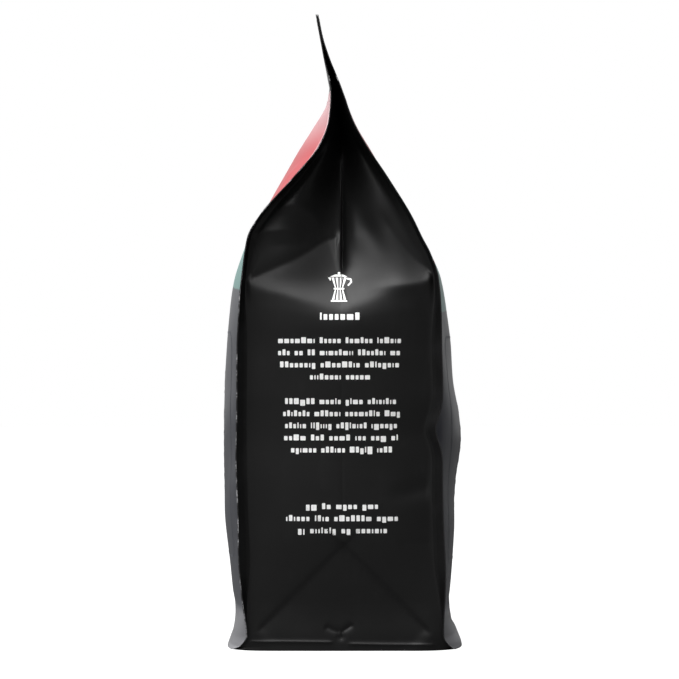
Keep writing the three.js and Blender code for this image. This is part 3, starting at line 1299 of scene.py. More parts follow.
@dataclass(frozen=True)
class FilmTexture:
    """What all the printed film has: soft patches, fine upright streaks and a grain that is felt."""

    patch_size: float
    streak_size: float
    streak_length: float
    grain_size: float
    relief: float = 0.02
    relief_share: float = 0.35

    def lay(self, sheet: ShaderSheet, place: Place) -> tuple[Value, Value]:
        """Gives the film its fine relief.

        Args:
            sheet: The film's material.
            place: Where the shaded point lies.

        Returns:
            The patches and the streaks, each from 0 to 1.
        """
        patches = sheet.noise(place, self.patch_size, detail=3.0)
        streaks = sheet.noise(place, self.streak_size, detail=2.0, longer=self.streak_length)
        grain = sheet.noise(place, self.grain_size, detail=1.0)
        sheet.bump(grain * 0.5 + streaks * 0.5, self.relief, self.relief_share)
        return patches, streaks


@dataclass(frozen=True)
class BlackFilm:
    """Matt black printed film, with a soft uneven sheen and fine rubbing along its streaks."""

    name: str
    ink: Colour = (0.0032, 0.0032, 0.0033)
    rubbed_ink: Colour = (0.0058, 0.0058, 0.0059)
    rubbed_share: float = 0.8
    rubbed_patches: Point = (0.5, 0.75)
    rubbed_streaks: Point = (0.35, 0.7)
    texture: FilmTexture = FilmTexture(14.0, 1.4, streak_length=14.0, grain_size=0.28)
    roughness: float = 0.5
    patchiness: float = 0.1
    streakiness: float = 0.05
    specular: float = 0.34

    def material(self, unit: float) -> bpy.types.Material:
        """Makes the material.

        Args:
            unit: The metres in one film millimetre.

        Returns:
            The new material.
        """
        sheet = ShaderSheet(self.name, unit)
        patches, streaks = self.texture.lay(sheet, sheet.place())
        rubbing = patches.step(*self.rubbed_patches) * streaks.step(*self.rubbed_streaks)
        sheet.link("Base Color", sheet.mix(rubbing * self.rubbed_share, self.ink, self.rubbed_ink))
        uneven = (patches - 0.5) * self.patchiness + (streaks - 0.5) * self.streakiness
        sheet.link("Roughness", uneven + self.roughness)
        sheet.set("Specular IOR Level", self.specular)
        return sheet.material


@dataclass(frozen=True)
class PrintedFilm:
    """The panels' film: a black header, then a red field that pales, a teal band, slate and a grey foot."""

    name: str = "panel_film"
    header: Colour = (0.0034, 0.0034, 0.0035)
    # The next colour is not print: it is the white of the painted highlights at the sealed margins and in the
    # streak beside them.
    highlight_colour: Colour = (0.8, 0.62, 0.64)
    pale_rose: Colour = (0.6, 0.38, 0.4)
    rose: Colour = (0.36, 0.04, 0.047)
    teal: Colour = (0.11, 0.24, 0.22)
    slate: Colour = (0.028, 0.03, 0.04)
    foot: Colour = (0.16, 0.16, 0.17)
    dust: Colour = (0.9, 0.9, 0.9)
    header_from: float = 225.0
    header_blend: float = 0.3
    pale_between: Point = (198.0, 226.0)
    front_teal: Point = (144.5, 163.0)
    back_teal: Point = (135.0, 155.0)
    teal_blend: float = 0.4
    foot_between: Point = (14.0, 18.0)
    back_between: Point = (-6.0, 6.0)
    top_joins_between: Point = (200.0, 214.0)
    margin_from_middle: float = 60.0
    # The next three settings place and weigh the painted highlight along the sealed margins.
    margin_highlight_between: Point = (0.94, 1.0)
    margin_highlight_height: Point = (190.0, 206.0)
    margin_highlight: float = 0.8
    # The next five settings place and weigh the painted highlight streak beside the sealed margins.
    highlight_streak_begins: Point = (0.915, 0.94)
    highlight_streak_ends: Point = (0.955, 0.98)
    highlight_streak_height: Point = (180.0, 188.0)
    highlight_streak_top: Point = (198.0, 208.0)
    highlight_streak_strength: float = 0.6
    swing: float = 2.5
    swing_length: float = 17.0
    small_swing: float = 0.75
    small_swing_length: float = 7.3
    swing_fades: Point = (0.6, 1.0)
    texture: FilmTexture = FilmTexture(16.0, 1.2, streak_length=12.0, grain_size=0.3, relief_share=0.3)
    dust_share: float = 0.04
    dust_from: float = 0.3
    roughness: float = 0.36
    patchiness: float = 0.12
    streakiness: float = 0.05
    low_roughness: float = 0.14
    low_between: Point = (30.0, 62.0)

    def field_colour(self, sheet: ShaderSheet, place: Place) -> bpy.types.NodeSocket:
        """The red field's colour, paler towards the top, with painted highlights of light on the film: a
        white band at the sealed margins and a white streak beside it.

        Args:
            sheet: The film's material.
            place: Where the shaded point lies.

        Returns:
            The socket of the colour.
        """
        aside = place.across * place.across / self.margin_from_middle**2
        pale = sheet.mix(place.up.step(*self.pale_between), self.rose, self.pale_rose)
        # Painted highlights: a white band at the sealed margins and a white streak beside it, a little lower
        # down, stand in for the sheen of light on the film.
        margin = aside.step(*self.margin_highlight_between) * place.up.step(*self.margin_highlight_height)
        highlight_streak = aside.step(*self.highlight_streak_begins) * (1 - aside.step(*self.highlight_streak_ends))
        highlight_streak = highlight_streak * place.up.step(*self.highlight_streak_height) * (1 - place.up.step(*self.highlight_streak_top))
        return sheet.mix(margin * self.margin_highlight + highlight_streak * self.highlight_streak_strength, pale, self.highlight_colour)

    def banded_colour(self, sheet: ShaderSheet, place: Place) -> bpy.types.NodeSocket:
        """The colour below the header, with the bands' swinging bounds.

        Args:
            sheet: The film's material.
            place: Where the shaded point lies.

        Returns:
            The socket of the colour.
        """
        aside = place.across * place.across / self.margin_from_middle**2
        at_back = place.back.step(*self.back_between) * (1 - place.up.step(*self.top_joins_between))
        wave = (place.across / self.swing_length).sine() * self.swing
        wave = wave + (place.across / self.small_swing_length).sine() * self.small_swing
        height = place.up - wave * (1 - aside.step(*self.swing_fades))
        low, high = (
            at_back * (back - front) + front for front, back in zip(self.front_teal, self.back_teal)
        )
        over_teal = height.step(high - self.teal_blend, high + self.teal_blend)
        over_slate = height.step(low - self.teal_blend, low + self.teal_blend)
        upper = sheet.mix(over_teal, self.teal, self.field_colour(sheet, place))
        lower = sheet.mix(place.up.step(*self.foot_between), self.foot, self.slate)
        return sheet.mix(over_slate, lower, upper)

    def material(self, unit: float) -> bpy.types.Material:
        """Makes the material.

        Args:
            unit: The metres in one film millimetre.

        Returns:
            The new material.
        """
        sheet = ShaderSheet(self.name, unit)
        place = sheet.place()
        patches, streaks = self.texture.lay(sheet, place)
        dusted = (patches - self.dust_from) * self.dust_share
        shade = sheet.mix(dusted, self.banded_colour(sheet, place), self.dust)
        headed = place.up.step(self.header_from - self.header_blend, self.header_from + self.header_blend)
        sheet.link("Base Color", sheet.mix(headed, shade, self.header))
        uneven = (patches - 0.5) * self.patchiness + (streaks - 0.5) * self.streakiness
        low = 1 - place.up.step(*self.low_between)
        sheet.link("Roughness", uneven + low * self.low_roughness + self.roughness)
        return sheet.material


@dataclass(frozen=True)
class CutFilm:
    """The cut edge of the sealed film: dark, with pale specks at the front that are painted glints of light
    on the edge.
    """

    name: str = "cut_film_edge"
    # The pale colour is not the film's own: it is the colour of painted glints of light on the front cut
    # edge.
    pale: Colour = (0.32, 0.32, 0.33)
    dark: Colour = (0.012, 0.012, 0.0125)
    header: Colour = (0.006, 0.006, 0.006)
    run_size: float = 6.0
    speck_size: float = 0.8
    glint_runs_between: Point = (0.45, 0.65)
    glint_specks_between: Point = (0.3, 0.6)
    back_between: Point = (-6.0, 6.0)
    glints_end: Point = (196.0, 216.0)
    header_between: Point = (200.0, 222.0)
    roughness: float = 0.35
    unevenness: float = 0.2

    def material(self, unit: float) -> bpy.types.Material:
        """Makes the material.

        Args:
            unit: The metres in one film millimetre.

        Returns:
            The new material.
        """
        sheet = ShaderSheet(self.name, unit)
        place = sheet.place()
        runs = sheet.noise(place, self.run_size, detail=3.0)
        specks = sheet.noise(place, self.speck_size, detail=1.0)
        # Painted glints: pale specks on the front cut edges only, below the header, where light catches the
        # edge.
        where = (1 - place.back.step(*self.back_between)) * (1 - place.up.step(*self.glints_end))
        glint_share = runs.step(*self.glint_runs_between) * specks.step(*self.glint_specks_between) * where
        colour = sheet.mix(place.up.step(*self.header_between), self.dark, self.header)
        sheet.link("Base Color", sheet.mix(glint_share, colour, self.pale))
        sheet.link("Roughness", runs * self.unevenness + self.roughness)
        sheet.bump(specks, distance=0.03, strength=0.4)
        return sheet.material


@dataclass(frozen=True)
class SealedFilm:
    """The sealed margins on the gusset's side: black film with the fine ribs of the sealing bar."""

    name: str = "sealed_margin_film"
    ink: Colour = (0.003, 0.003, 0.0031)
    rubbed_ink: Colour = (0.005, 0.005, 0.0052)
    run_size: float = 9.0
    rubbed_between: Point = (0.45, 0.75)
    specular: float = 0.25
    roughness: float = 0.46
    unevenness: float = 0.14
    rib_pitch: float = 1.1
    rib_share: float = 0.6
    grain_size: float = 0.4

    def material(self, unit: float) -> bpy.types.Material:
        """Makes the material.

        Args:
            unit: The metres in one film millimetre.

        Returns:
            The new material.
        """
        sheet = ShaderSheet(self.name, unit)
        place = sheet.place()
        runs = sheet.noise(place, self.run_size, detail=2.0)
        grain = sheet.noise(place, self.grain_size, detail=1.0)
        ribs = (place.up * (2 * math.pi / self.rib_pitch)).sine() * 0.5 + 0.5
        sheet.link("Base Color", sheet.mix(runs.step(*self.rubbed_between), self.ink, self.rubbed_ink))
        sheet.link("Roughness", (runs - 0.5) * self.unevenness + self.roughness)
        sheet.set("Specular IOR Level", self.specular)
        sheet.bump(ribs * self.rib_share + grain * (1 - self.rib_share), distance=0.02, strength=0.3)
        return sheet.material


@dataclass(frozen=True)
class Ink:
    """Opaque ink on the film, slightly uneven in cover."""

    name: str
    colour: Colour
    thin_colour: Colour
    cover_size: float = 0.7
    covers_between: Point = (0.25, 0.5)
    roughness: float = 0.5
    unevenness: float = 0.15

    def material(self, unit: float) -> bpy.types.Material:
        """Makes the material.

        Args:
            unit: The metres in one film millimetre.

        Returns:
            The new material.
        """
        sheet = ShaderSheet(self.name, unit)
        cover = sheet.noise(sheet.place(), self.cover_size, detail=2.0)
        sheet.link("Base Color", sheet.mix(cover.step(*self.covers_between), self.thin_colour, self.colour))
        sheet.link("Roughness", (cover - 0.5) * self.unevenness + self.roughness)
        sheet.bump(cover, distance=0.01, strength=0.25)
        return sheet.material


class FilmSurface:
    """The finished film as a surface that print is laid on."""

    start_away: float = 200.0

    def __init__(self, film: bpy.types.Object, unit: float) -> None:
        """Takes the film's mesh as it stands.

        Args:
            film: The finished film.
            unit: The metres in one film millimetre.
        """
        self.unit = unit
        vertices = [vertex.co for vertex in film.data.vertices]
        self.tree = BVHTree.FromPolygons(vertices, [tuple(p.vertices) for p in film.data.polygons])

    def touch(self, face: Face, across: float, up: float, lift: float) -> Vector:
        """The place just over the film that a print point lands on.

        Args:
            face: The side that is printed.
            across: How far right of the side's middle the point is.
            up: The point's height.
            lift: How far over the film it lies.

        Returns:
            The place in metres.

        Raises:
            ValueError: If there is no film there.
        """
        start = face.rightward * across + Vector((0, 0, up)) + face.outward * self.start_away
        place, normal, _, _ = self.tree.ray_cast(start * self.unit, -face.outward)
        if place is None:
            raise ValueError(f"no film at {across}, {up} on {face.name}")
        return place + normal * (lift * self.unit)


class PrintPlate:
    """Flat ink shapes, gathered in the plane of a side and then laid on the film."""

    def __init__(self, name: str, face: Face, lift: float = 0.09, finest: float = 0.8) -> None:
        """Starts an empty plate for a side of the bag.

        Args:
            name: The print's name.
            face: The side that it is on.
            lift: How far over the film it lies.
            finest: The size of the pieces that its shapes are divided into.
        """
        self.name = name
        self.face = face
        self.lift = lift
        self.finest = finest
        self.points: list[Point] = []
        self.faces: list[list[int]] = []

    def grid(self, columns: Sequence[Sequence[Point]]) -> None:
        """Adds faces between columns of points.

        Args:
            columns: The columns from left to right, each of equally many points upwards.
        """
        rows = len(columns[0])
        first = len(self.points)
        for column in columns:
            self.points += column
        for i in range(len(columns) - 1):
            for j in range(rows - 1):
                at = first + i * rows + j
                self.faces.append([at, at + rows, at + rows + 1, at + 1])

    def patch(self, low_left: Point, low_right: Point, high_right: Point, high_left: Point) -> None:
        """Adds a filled shape with four corners, finely divided so that it follows the film.

        Args:
            low_left: The first corner.
            low_right: The next corner, anticlockwise.
            high_right: The corner after it.
            high_left: The last corner.
        """
        across = max(math.dist(low_left, low_right), math.dist(high_left, high_right))
        up = max(math.dist(low_left, high_left), math.dist(low_right, high_right))
        columns = max(1, math.ceil(across / self.finest))
        rows = max(1, math.ceil(up / self.finest))
        grid = []
        for i in range(columns + 1):
            low = between(low_left, low_right, i / columns)
            high = between(high_left, high_right, i / columns)
            grid.append([between(low, high, j / rows) for j in range(rows + 1)])
        self.grid(grid)

    def disc(self, centre: Point, radius: float, sides: int = 20) -> None:
        """Adds a filled disc.

        Args:
            centre: The disc's middle.
            radius: Its radius.
            sides: How many straight sides its rim has.
        """
        rings = max(1, math.ceil(radius / self.finest))
        columns = []
        for i in range(sides + 1):
            angle = 2 * math.pi * i / sides
            edge = (centre[0] + radius * math.cos(angle), centre[1] + radius * math.sin(angle))
            columns.append([between(centre, edge, j / rings) for j in range(rings, 0, -1)])
        self.grid(columns)
        first = len(self.points)
        self.points += [column[-1] for column in columns[:-1]]
        self.faces.append(list(range(first, first + sides)))

    def bar(
        self, centre: Point, width: float, height: float, radius: float,
        turns: tuple[float, ...] = (0.0, 0.35, 0.7),
    ) -> None:
        """Adds a bar with rounded corners, in strips that follow the film.

        Args:
            centre: The bar's middle.
            width: Its length across.
            height: Its height.
            radius: The radius of its corners.
            turns: How far round each corner its strips end, as shares of a right angle.
        """
        inner = width / 2 - radius
        strips = max(1, math.ceil(2 * inner / self.finest))
        reaches = [radius * math.cos(math.pi / 2 * turn) for turn in turns]
        offsets = [-inner - reach for reach in reaches]
        offsets += [lerp(-inner, inner, i / strips) for i in range(strips + 1)]
        offsets += [inner + reach for reach in reversed(reaches)]
        rows = max(1, math.ceil(height / self.finest))
        columns = []
        for offset in offsets:
            past = max(abs(offset) - inner, 0.0)
            half = height / 2 - radius + math.sqrt(max(radius**2 - past**2, 0.0))
            at = centre[0] + offset
            columns.append([(at, centre[1] + lerp(-half, half, i / rows)) for i in range(rows + 1)])
        self.grid(columns)

    def stroke(self, line: Sequence[Point], width: float, sides: int = 10) -> None:
        """Adds straight strokes of one width, with round joins and ends.

        Args:
            line: The points that the strokes join.
            width: The strokes' width.
            sides: How many straight sides a join's rim has.
        """
        for (x0, y0), (x1, y1) in zip(line, line[1:]):
            length = math.hypot(x1 - x0, y1 - y0)
            aside = ((y1 - y0) / length * width / 2, (x0 - x1) / length * width / 2)
            self.patch(
                (x0 - aside[0], y0 - aside[1]),
                (x0 + aside[0], y0 + aside[1]),
                (x1 + aside[0], y1 + aside[1]),
                (x1 - aside[0], y1 - aside[1]),
            )
        for spot in line:
            self.disc(spot, width / 2, sides)

    def lay(self, film: FilmSurface) -> bpy.types.Object:
        """Lays the plate's shapes on the film.

        Args:
            film: The film that is printed.

        Returns:
            The print as a new object.
        """
        places = [film.touch(self.face, across, up, self.lift) for across, up in self.points]
        mesh = bpy.data.meshes.new(self.name)
        mesh.from_pydata(places, [], self.faces)
        mesh.update()
        made = bpy.data.objects.new(self.name, mesh)
        bpy.context.scene.collection.objects.link(made)
        return made


@dataclass(frozen=True)
class PotSign:
    """A plain sign of a stove-top pot, as upright facets with gaps between them."""

    centre: Point
    facets: int = 4
    gap: float = 0.6
    foot_width: float = 6.4
    waist_width: float = 3.9
    rim_width: float = 6.8
    base_height: float = 4.3
    jug_height: float = 4.2
    waist_height: float = 0.7
    waist_gap: float = 0.1
    waist_overhang: float = 0.5
    foot_drop: float = 0.35
    foot_height: float = 0.55
    foot_overhang: float = 0.3
    bar_radius: float = 0.25
    knob_up: float = 1.75
    knob_radius: float = 0.55
    lid: tuple[Point, ...] = ((-3.7, 0.3), (3.4, 0.3), (1.5, 1.25), (-1.5, 1.25))
    spout: tuple[Point, ...] = ((-3.6, -1.3), (-3.3, -1.3), (-3.3, 0.0), (-4.5, 0.0))
    handle: tuple[Point, ...] = ((3.4, -0.5), (4.7, -0.7), (4.9, -1.9), (3.8, -3.1))
    handle_width: float = 0.7

    def flared(self, plate: PrintPlate, low: float, low_width: float, high: float, high_width: float) -> None:
        """Adds the facets of one half of the pot.

        Args:
            plate: The plate that is drawn on.
            low: The height of the facets' lower ends.
            low_width: The pot's width there.
            high: The height of their upper ends.
            high_width: The pot's width there.
        """
        x = self.centre[0]
        inset = self.gap / 2
        for i in range(self.facets):
            left = i / self.facets - 0.5
            right = (i + 1) / self.facets - 0.5
            plate.patch(
                (x + left * low_width + inset, low),
                (x + right * low_width - inset, low),
                (x + right * high_width - inset, high),
                (x + left * high_width + inset, high),
            )

    def draw(self, plate: PrintPlate) -> None:
        """Adds the sign to a plate.

        Args:
            plate: The plate that is drawn on.
        """
        x, waist = self.centre
        base_top = waist - self.waist_height / 2
        foot = base_top - self.base_height
        low_jug = waist + self.waist_height / 2
        rim = low_jug + self.jug_height
        self.flared(plate, foot, self.foot_width, base_top - self.waist_gap, self.waist_width)
        self.flared(plate, low_jug + self.waist_gap, self.waist_width, rim, self.rim_width)
        plate.bar((x, waist), self.waist_width + self.waist_overhang, self.waist_height, self.bar_radius)
        foot_width = self.foot_width + self.foot_overhang
        plate.bar((x, foot - self.foot_drop), foot_width, self.foot_height, self.bar_radius)
        plate.patch(*((x + across, rim + up) for across, up in self.lid))
        plate.disc((x, rim + self.knob_up), self.knob_radius, sides=12)
        plate.patch(*((x + across, rim + up) for across, up in self.spout))
        plate.stroke([(x + across, rim + up) for across, up in self.handle], self.handle_width)


@dataclass(frozen=True)
class CupSign:
    """A plain sign of a cup on its saucer with steam over it."""

    centre: Point
    size: float
    bowl: tuple[Point, ...] = ((-3.0, -3.4), (3.0, -3.4), (4.6, 1.6), (-4.6, 1.6))
    handle: tuple[Point, ...] = ((4.3, 0.9), (6.0, 0.9), (6.3, -0.7), (5.0, -1.9), (3.7, -1.9))
    handle_width: float = 0.8
    saucer_up: float = -4.7
    saucer_width: float = 12.0
    saucer_height: float = 0.8
    saucer_radius: float = 0.35
    wisps: tuple[float, ...] = (-2.2, 0.0, 2.2)
    wisp: tuple[Point, ...] = ((0.0, 2.8), (0.5, 3.8), (-0.3, 4.9), (0.2, 6.0))
    wisp_width: float = 0.55

    def at(self, across: float, up: float) -> Point:
        """A point of the sign, as the plate has it."""
        return self.centre[0] + across * self.size, self.centre[1] + up * self.size

    def draw(self, plate: PrintPlate) -> None:
        """Adds the sign to a plate.

        Args:
            plate: The plate that is drawn on.
        """
        size = self.size
        plate.patch(*(self.at(*point) for point in self.bowl))
        plate.bar(
            self.at(0.0, self.saucer_up),
            self.saucer_width * size,
            self.saucer_height * size,
            self.saucer_radius * size,
        )
        plate.stroke([self.at(*point) for point in self.handle], self.handle_width * size)
        for aside in self.wisps:
            line = [self.at(aside + across, up) for across, up in self.wisp]
            plate.stroke(line, self.wisp_width * size)


@dataclass(frozen=True)
class TextLines:
    """Lines of small plain blocks that stand where lines of reading matter would."""

    seed: int
    lines: Sequence[Line]
    block_height: float = 1.75
    tall_height: float = 0.65
    tall_share: float = 0.33
    low_share: float = 0.09
    corner: float = 0.28
    gap: float = 0.52
    space: float = 1.9
    widths: tuple[float, ...] = (0.5, 1.1, 1.2, 1.25, 1.35, 1.9)
    shortest_word: int = 2
    longest_word: int = 8

    def word(self, draw: np.random.Generator, room: float) -> list[float]:
        """Draws the widths of the blocks that stand for one word.

        Args:
            draw: The random numbers.
            room: The width that the blocks and their gaps may take up.

        Returns:
            The widths.
        """
        count = int(draw.integers(self.shortest_word, self.longest_word + 1))
        blocks = [float(width) for width in draw.choice(self.widths, count)]
        while len(blocks) > 1 and sum(blocks) + self.gap * (len(blocks) - 1) > room:
            blocks.pop()
        return blocks

    def draw(self, plate: PrintPlate) -> None:
        """Adds the blocks of all the lines, each line as wide as it is asked to be.

        Args:
            plate: The plate that is drawn on.
        """
        draw = np.random.default_rng(self.seed)
        for left, right, up in self.lines:
            placed: list[Point] = []
            at = left
            while right - at > 2 * max(self.widths):
                for width in self.word(draw, right - at):
                    placed.append((at, width))
                    at += width + self.gap
                at += self.space - self.gap
            scale = (right - left) / (placed[-1][0] + placed[-1][1] - left)
            for start, width in placed:
                rise = self.tall_height * float(draw.random() < self.tall_share)
                drop = self.tall_height * float(draw.random() < self.low_share)
                middle = left + (start + width / 2 - left) * scale
                height = self.block_height + rise + drop
                plate.bar((middle, up + (rise - drop) / 2), width * scale, height, self.corner)


@dataclass(frozen=True)
class SidePrint:
    """The print on a gusset: a pot sign, a short heading and blocks of plain bars."""

    name: str
    face: Face
    seed: int
    sign_centre: Point = (-1.2, 145.4)
    heading: Line = (-8.8, 7.0, 134.0)
    heading_height: float = 2.3
    line_pitch: float = 4.85
    blocks: tuple[tuple[float, tuple[Point, ...]], ...] = (
        (124.4, ((-25.6, 23.6), (-25.6, 23.2), (-24.8, 22.8), (-12.8, 11.2))),
        (100.0, ((-22.8, 21.6), (-23.6, 23.2), (-22.8, 22.0), (-23.2, 22.4), (-20.4, 20.0))),
        (58.0, ((-14.4, 14.4), (-22.4, 22.4), (-17.6, 18.0))),
    )

    def lines(self) -> list[Line]:
        """Every line of bars below the heading.

        Returns:
            Each line's left end, right end and height.
        """
        made = []
        for top, ends in self.blocks:
            for i, (left, right) in enumerate(ends):
                made.append((left, right, top - i * self.line_pitch))
        return made

    def build(self, film: FilmSurface) -> bpy.types.Object:
        """Draws the print and lays it on the film.

        Args:
            film: The film that is printed.

        Returns:
            The print as a new object.
        """
        plate = PrintPlate(self.name, self.face)
        PotSign(self.sign_centre).draw(plate)
        TextLines(self.seed, [self.heading], block_height=self.heading_height).draw(plate)
        TextLines(self.seed + 1, self.lines()).draw(plate)
        return plate.lay(film)


@dataclass(frozen=True)
class PanelPrint:
    """The print down the middle of a panel: a cup sign, a heading and lines of blocks."""

    name: str
    face: Face
    seed: int
    sign_up: float
    line_count: int
    sign_size: float = 1.5
    half_width: float = 15.5
    heading_drop: float = 16.0
    lines_drop: float = 24.0
    line_pitch: float = 4.6
    inset: float = 1.2
    odd_inset: float = 0.7
    longest_word: int = 6

    def heading(self) -> TextLines:
        """The line of large blocks below the sign.

        Returns:
            The line, ready to draw.
        """
        line = (-self.half_width, self.half_width, self.sign_up - self.heading_drop)
        return TextLines(
            self.seed, [line], block_height=3.2, tall_height=1.2, gap=0.8, space=2.6,
            widths=(1.2, 2.3, 2.5, 2.7, 3.6),
        )

    def lines(self) -> list[Line]:
        """The lines of small blocks, uneven in length.

        Returns:
            Each line's left end, right end and height.
        """
        made = []
        for i in range(self.line_count):
            end = self.half_width - self.inset * (i % 3) - self.odd_inset * (i % 2)
            made.append((-end, end, self.sign_up - self.lines_drop - self.line_pitch * i))
        return made

    def build(self, film: FilmSurface) -> bpy.types.Object:
        """Draws the print and lays it on the film.

        Args:
            film: The film that is printed.

        Returns:
            The print as a new object.
        """
        plate = PrintPlate(self.name, self.face)
        CupSign((0.0, self.sign_up), self.sign_size).draw(plate)
        self.heading().draw(plate)
        TextLines(self.seed + 1, self.lines(), longest_word=self.longest_word).draw(plate)
        return plate.lay(film)


@dataclass(frozen=True)
class PanelFrame:
    """A thin rounded frame round the middle of a panel, in an ink close to the film's colour."""

    name: str
    face: Face
    middle_up: float
    half_width: float = 40.0
    half_height: float = 46.0
    corner: float = 6.0
    corner_steps: int = 6
    line_width: float = 0.9

    def build(self, film: FilmSurface) -> bpy.types.Object:
        """Draws the frame and lays it on the film.

        Args:
            film: The film that is printed.

        Returns:
            The frame as a new object.
        """
        plate = PrintPlate(self.name, self.face)
        line = []
        for turn, (right, above) in enumerate(((1, 1), (-1, 1), (-1, -1), (1, -1))):
            for i in range(self.corner_steps + 1):
                angle = math.pi / 2 * (turn + i / self.corner_steps)
                across = right * (self.half_width - self.corner) + self.corner * math.cos(angle)
                up = above * (self.half_height - self.corner) + self.corner * math.sin(angle)
                line.append((across, self.middle_up + up))
        plate.stroke(line + line[:1], self.line_width)
        return plate.lay(film)


@dataclass(frozen=True)
class Studio:
    """A white studio: a floor, a broad soft light overhead and white surroundings."""

    floor_side_m: float = 6.0
    overhead_size_m: float = 1.3
    overhead_place_m: Point3 = (0.35, -0.3, 1.25)
    overhead_target_m: Point3 = (0.0, 0.0, 0.12)
    overhead_watts: float = 50.0
    brightest: Point3 = (-0.85, -0.52, 0.0)
    dark_from: float = -0.1
    open_from: float = 0.85
    dark_side: float = 0.08
    open_side: float = 0.6
    seen_white: float = 1.0
    floor_tone: float = 0.15
    seen_floor_glow: float = 1.0

    def floor(self) -> bpy.types.Object:
        """Lays the floor that the bag stands on: white to look at, and dim in its reflections.

        Returns:
            The floor.
        """
        half = self.floor_side_m / 2
        mesh = bpy.data.meshes.new("studio_floor")
        corners = [(-half, -half, 0), (half, -half, 0), (half, half, 0), (-half, half, 0)]
        mesh.from_pydata(corners, [], [(0, 1, 2, 3)])
        made = bpy.data.objects.new("studio_floor", mesh)
        bpy.context.scene.collection.objects.link(made)
        sheet = ShaderSheet("floor_white", 0.001)
        sheet.set("Base Color", (self.floor_tone, self.floor_tone, self.floor_tone, 1.0))
        sheet.set("Roughness", 1.0)
        sheet.set("Specular IOR Level", 0.0)
        seen = sheet.node("ShaderNodeLightPath", {}, {}).outputs["Is Camera Ray"]
        sheet.link("Emission Color", sheet.mix(seen, (0.0, 0.0, 0.0), (1.0, 1.0, 1.0)))
        sheet.set("Emission Strength", self.seen_floor_glow)
        mesh.materials.append(sheet.material)
        return made

    def overhead(self) -> bpy.types.Object:
        """Hangs the broad soft light over the bag.

        Returns:
            The light.
        """
        light = bpy.data.lights.new("overhead_softbox", "AREA")
        light.shape = "SQUARE"
        light.size = self.overhead_size_m
        light.energy = self.overhead_watts
        made = bpy.data.objects.new("overhead_softbox", light)
        made.location = self.overhead_place_m
        downwards = Vector(self.overhead_target_m) - made.location
        made.rotation_euler = downwards.to_track_quat("-Z", "Y").to_euler()
        bpy.context.scene.collection.objects.link(made)
        return made

    def surroundings(self) -> bpy.types.World:
        """Sets the surroundings: white to look at, and darker where the bag's near side faces.

        Returns:
            The world that holds them.
        """
        world = bpy.data.worlds.new("studio_surroundings")
        world.use_nodes = True
        tree = world.node_tree
        nodes, links = tree.nodes, tree.links
        background = nodes["Background"]
        spot = nodes.new("ShaderNodeTexCoord")
        towards = nodes.new("ShaderNodeVectorMath")
        towards.operation = "DOT_PRODUCT"
        links.new(spot.outputs["Generated"], towards.inputs[0])
        towards.inputs[1].default_value = self.brightest
        facing = nodes.new("ShaderNodeMapRange")
        facing.interpolation_type = "SMOOTHSTEP"
        settings = (self.dark_from, self.open_from, self.dark_side, self.open_side)
        for key, setting in enumerate(settings, start=1):
            facing.inputs[key].default_value = setting
        links.new(towards.outputs["Value"], facing.inputs[0])
        seen = nodes.new("ShaderNodeLightPath")
        choose = nodes.new("ShaderNodeMix")
        links.new(seen.outputs["Is Camera Ray"], choose.inputs[0])
        links.new(facing.outputs[0], choose.inputs[2])
        choose.inputs[3].default_value = self.seen_white
        links.new(choose.outputs[0], background.inputs["Strength"])
        background.inputs["Color"].default_value = (1, 1, 1, 1)
        bpy.context.scene.world = world
        return world


@dataclass(frozen=True)
class PhotoCamera:
    """The camera at the photograph's place: level, square to the near gusset and far away."""

    distance_m: float = 1.2
    view_width_m: float = 0.2716
    aim_back_m: float = -0.001
    aim_up_m: float = 0.125
    sensor_mm: float = 36.0

    def build(self, near_side: float) -> bpy.types.Object:
        """Sets up the camera in front of the near side.

        Args:
            near_side: The near side's X in metres.

        Returns:
            The camera.
        """
        data = bpy.data.cameras.new("photo_camera")
        data.sensor_width = self.sensor_mm
        data.lens = self.sensor_mm * self.distance_m / self.view_width_m
        made = bpy.data.objects.new("photo_camera", data)
        made.location = (near_side + self.distance_m, self.aim_back_m, self.aim_up_m)
        made.rotation_euler = (math.pi / 2, 0, math.pi / 2)
        bpy.context.scene.collection.objects.link(made)
        bpy.context.scene.camera = made
        return made


def set_exposure() -> None:
    """Shows light as it is, without a film look."""
    view = bpy.context.scene.view_settings
    view.view_transform = "Standard"
    view.look = "None"
    view.exposure = 0.0
    view.gamma = 1.0


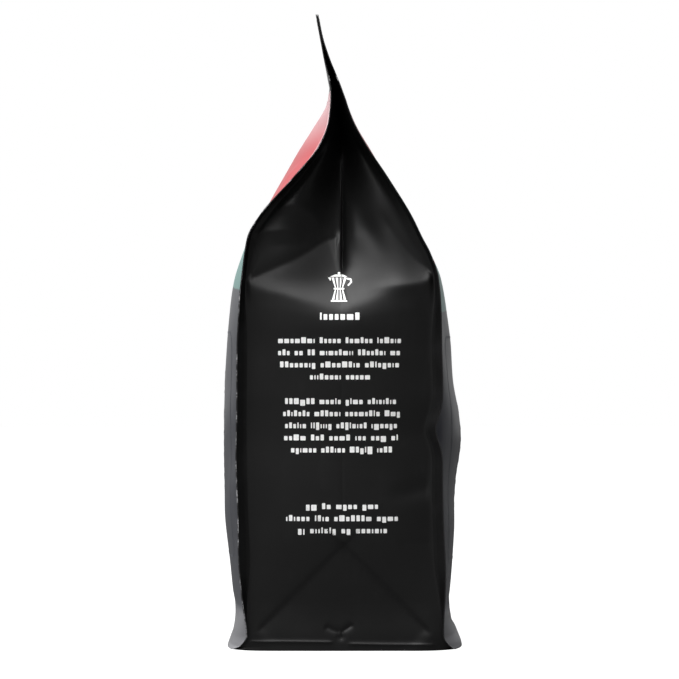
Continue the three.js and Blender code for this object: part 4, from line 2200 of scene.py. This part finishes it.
def report(piece: bpy.types.Object) -> None:
    """Tells what a finished piece is made of.

    Args:
        piece: The piece.
    """
    mesh = piece.data
    LOG.info("%s: %d vertices, %d faces", piece.name, len(mesh.vertices), len(mesh.polygons))


def main() -> None:
    """Builds the camera, the film, the print and the studio, and puts each piece on the frame."""
    logging.basicConfig(level=logging.INFO, format="%(name)s %(message)s")
    lowest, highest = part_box(NODE)
    form = BagForm()
    unit = (highest.z - lowest.z) / form.standing_height
    set_exposure()
    PhotoCamera().build(highest.x)

    film = FilmShell(form, unit).build()
    coats = {
        Coat.GUSSET: BlackFilm("gusset_film"),
        Coat.PANEL: PrintedFilm(),
        Coat.CUT_EDGE: CutFilm(),
        Coat.SEAL: SealedFilm(),
        Coat.BASE: BlackFilm("base_film"),
    }
    for coat in Coat:
        film.data.materials.append(coats[coat].material(unit))
    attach(film, BODY)
    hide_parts(NODE)
    report(film)

    surface = FilmSurface(film, unit)
    white = Ink("white_ink", (0.93, 0.93, 0.92), (0.78, 0.78, 0.78)).material(unit)
    prints = (
        SidePrint("near_gusset_print", Face.NEAR_GUSSET, seed=3),
        SidePrint("far_gusset_print", Face.FAR_GUSSET, seed=8),
    )
    inked = [(side_print.build(surface), white) for side_print in prints]
    silver = Ink("silver_grey_ink", (0.3, 0.31, 0.33), (0.22, 0.23, 0.25)).material(unit)
    grey = Ink("slate_grey_ink", (0.07, 0.074, 0.088), (0.05, 0.053, 0.065)).material(unit)
    inked.append((PanelPrint("front_panel_print", Face.FRONT, 15, 110.0, 6).build(surface), silver))
    inked.append((PanelPrint("back_panel_print", Face.BACK, 27, 112.0, 10).build(surface), silver))
    inked.append((PanelFrame("front_panel_frame", Face.FRONT, 82.0).build(surface), grey))
    inked.append((PanelFrame("back_panel_frame", Face.BACK, 80.0).build(surface), grey))
    for made, ink in inked:
        made.data.materials.append(ink)
        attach(made, BODY)
        report(made)

    studio = Studio()
    studio.floor()
    studio.overhead()
    studio.surroundings()


if __name__ == "__main__":
    main()
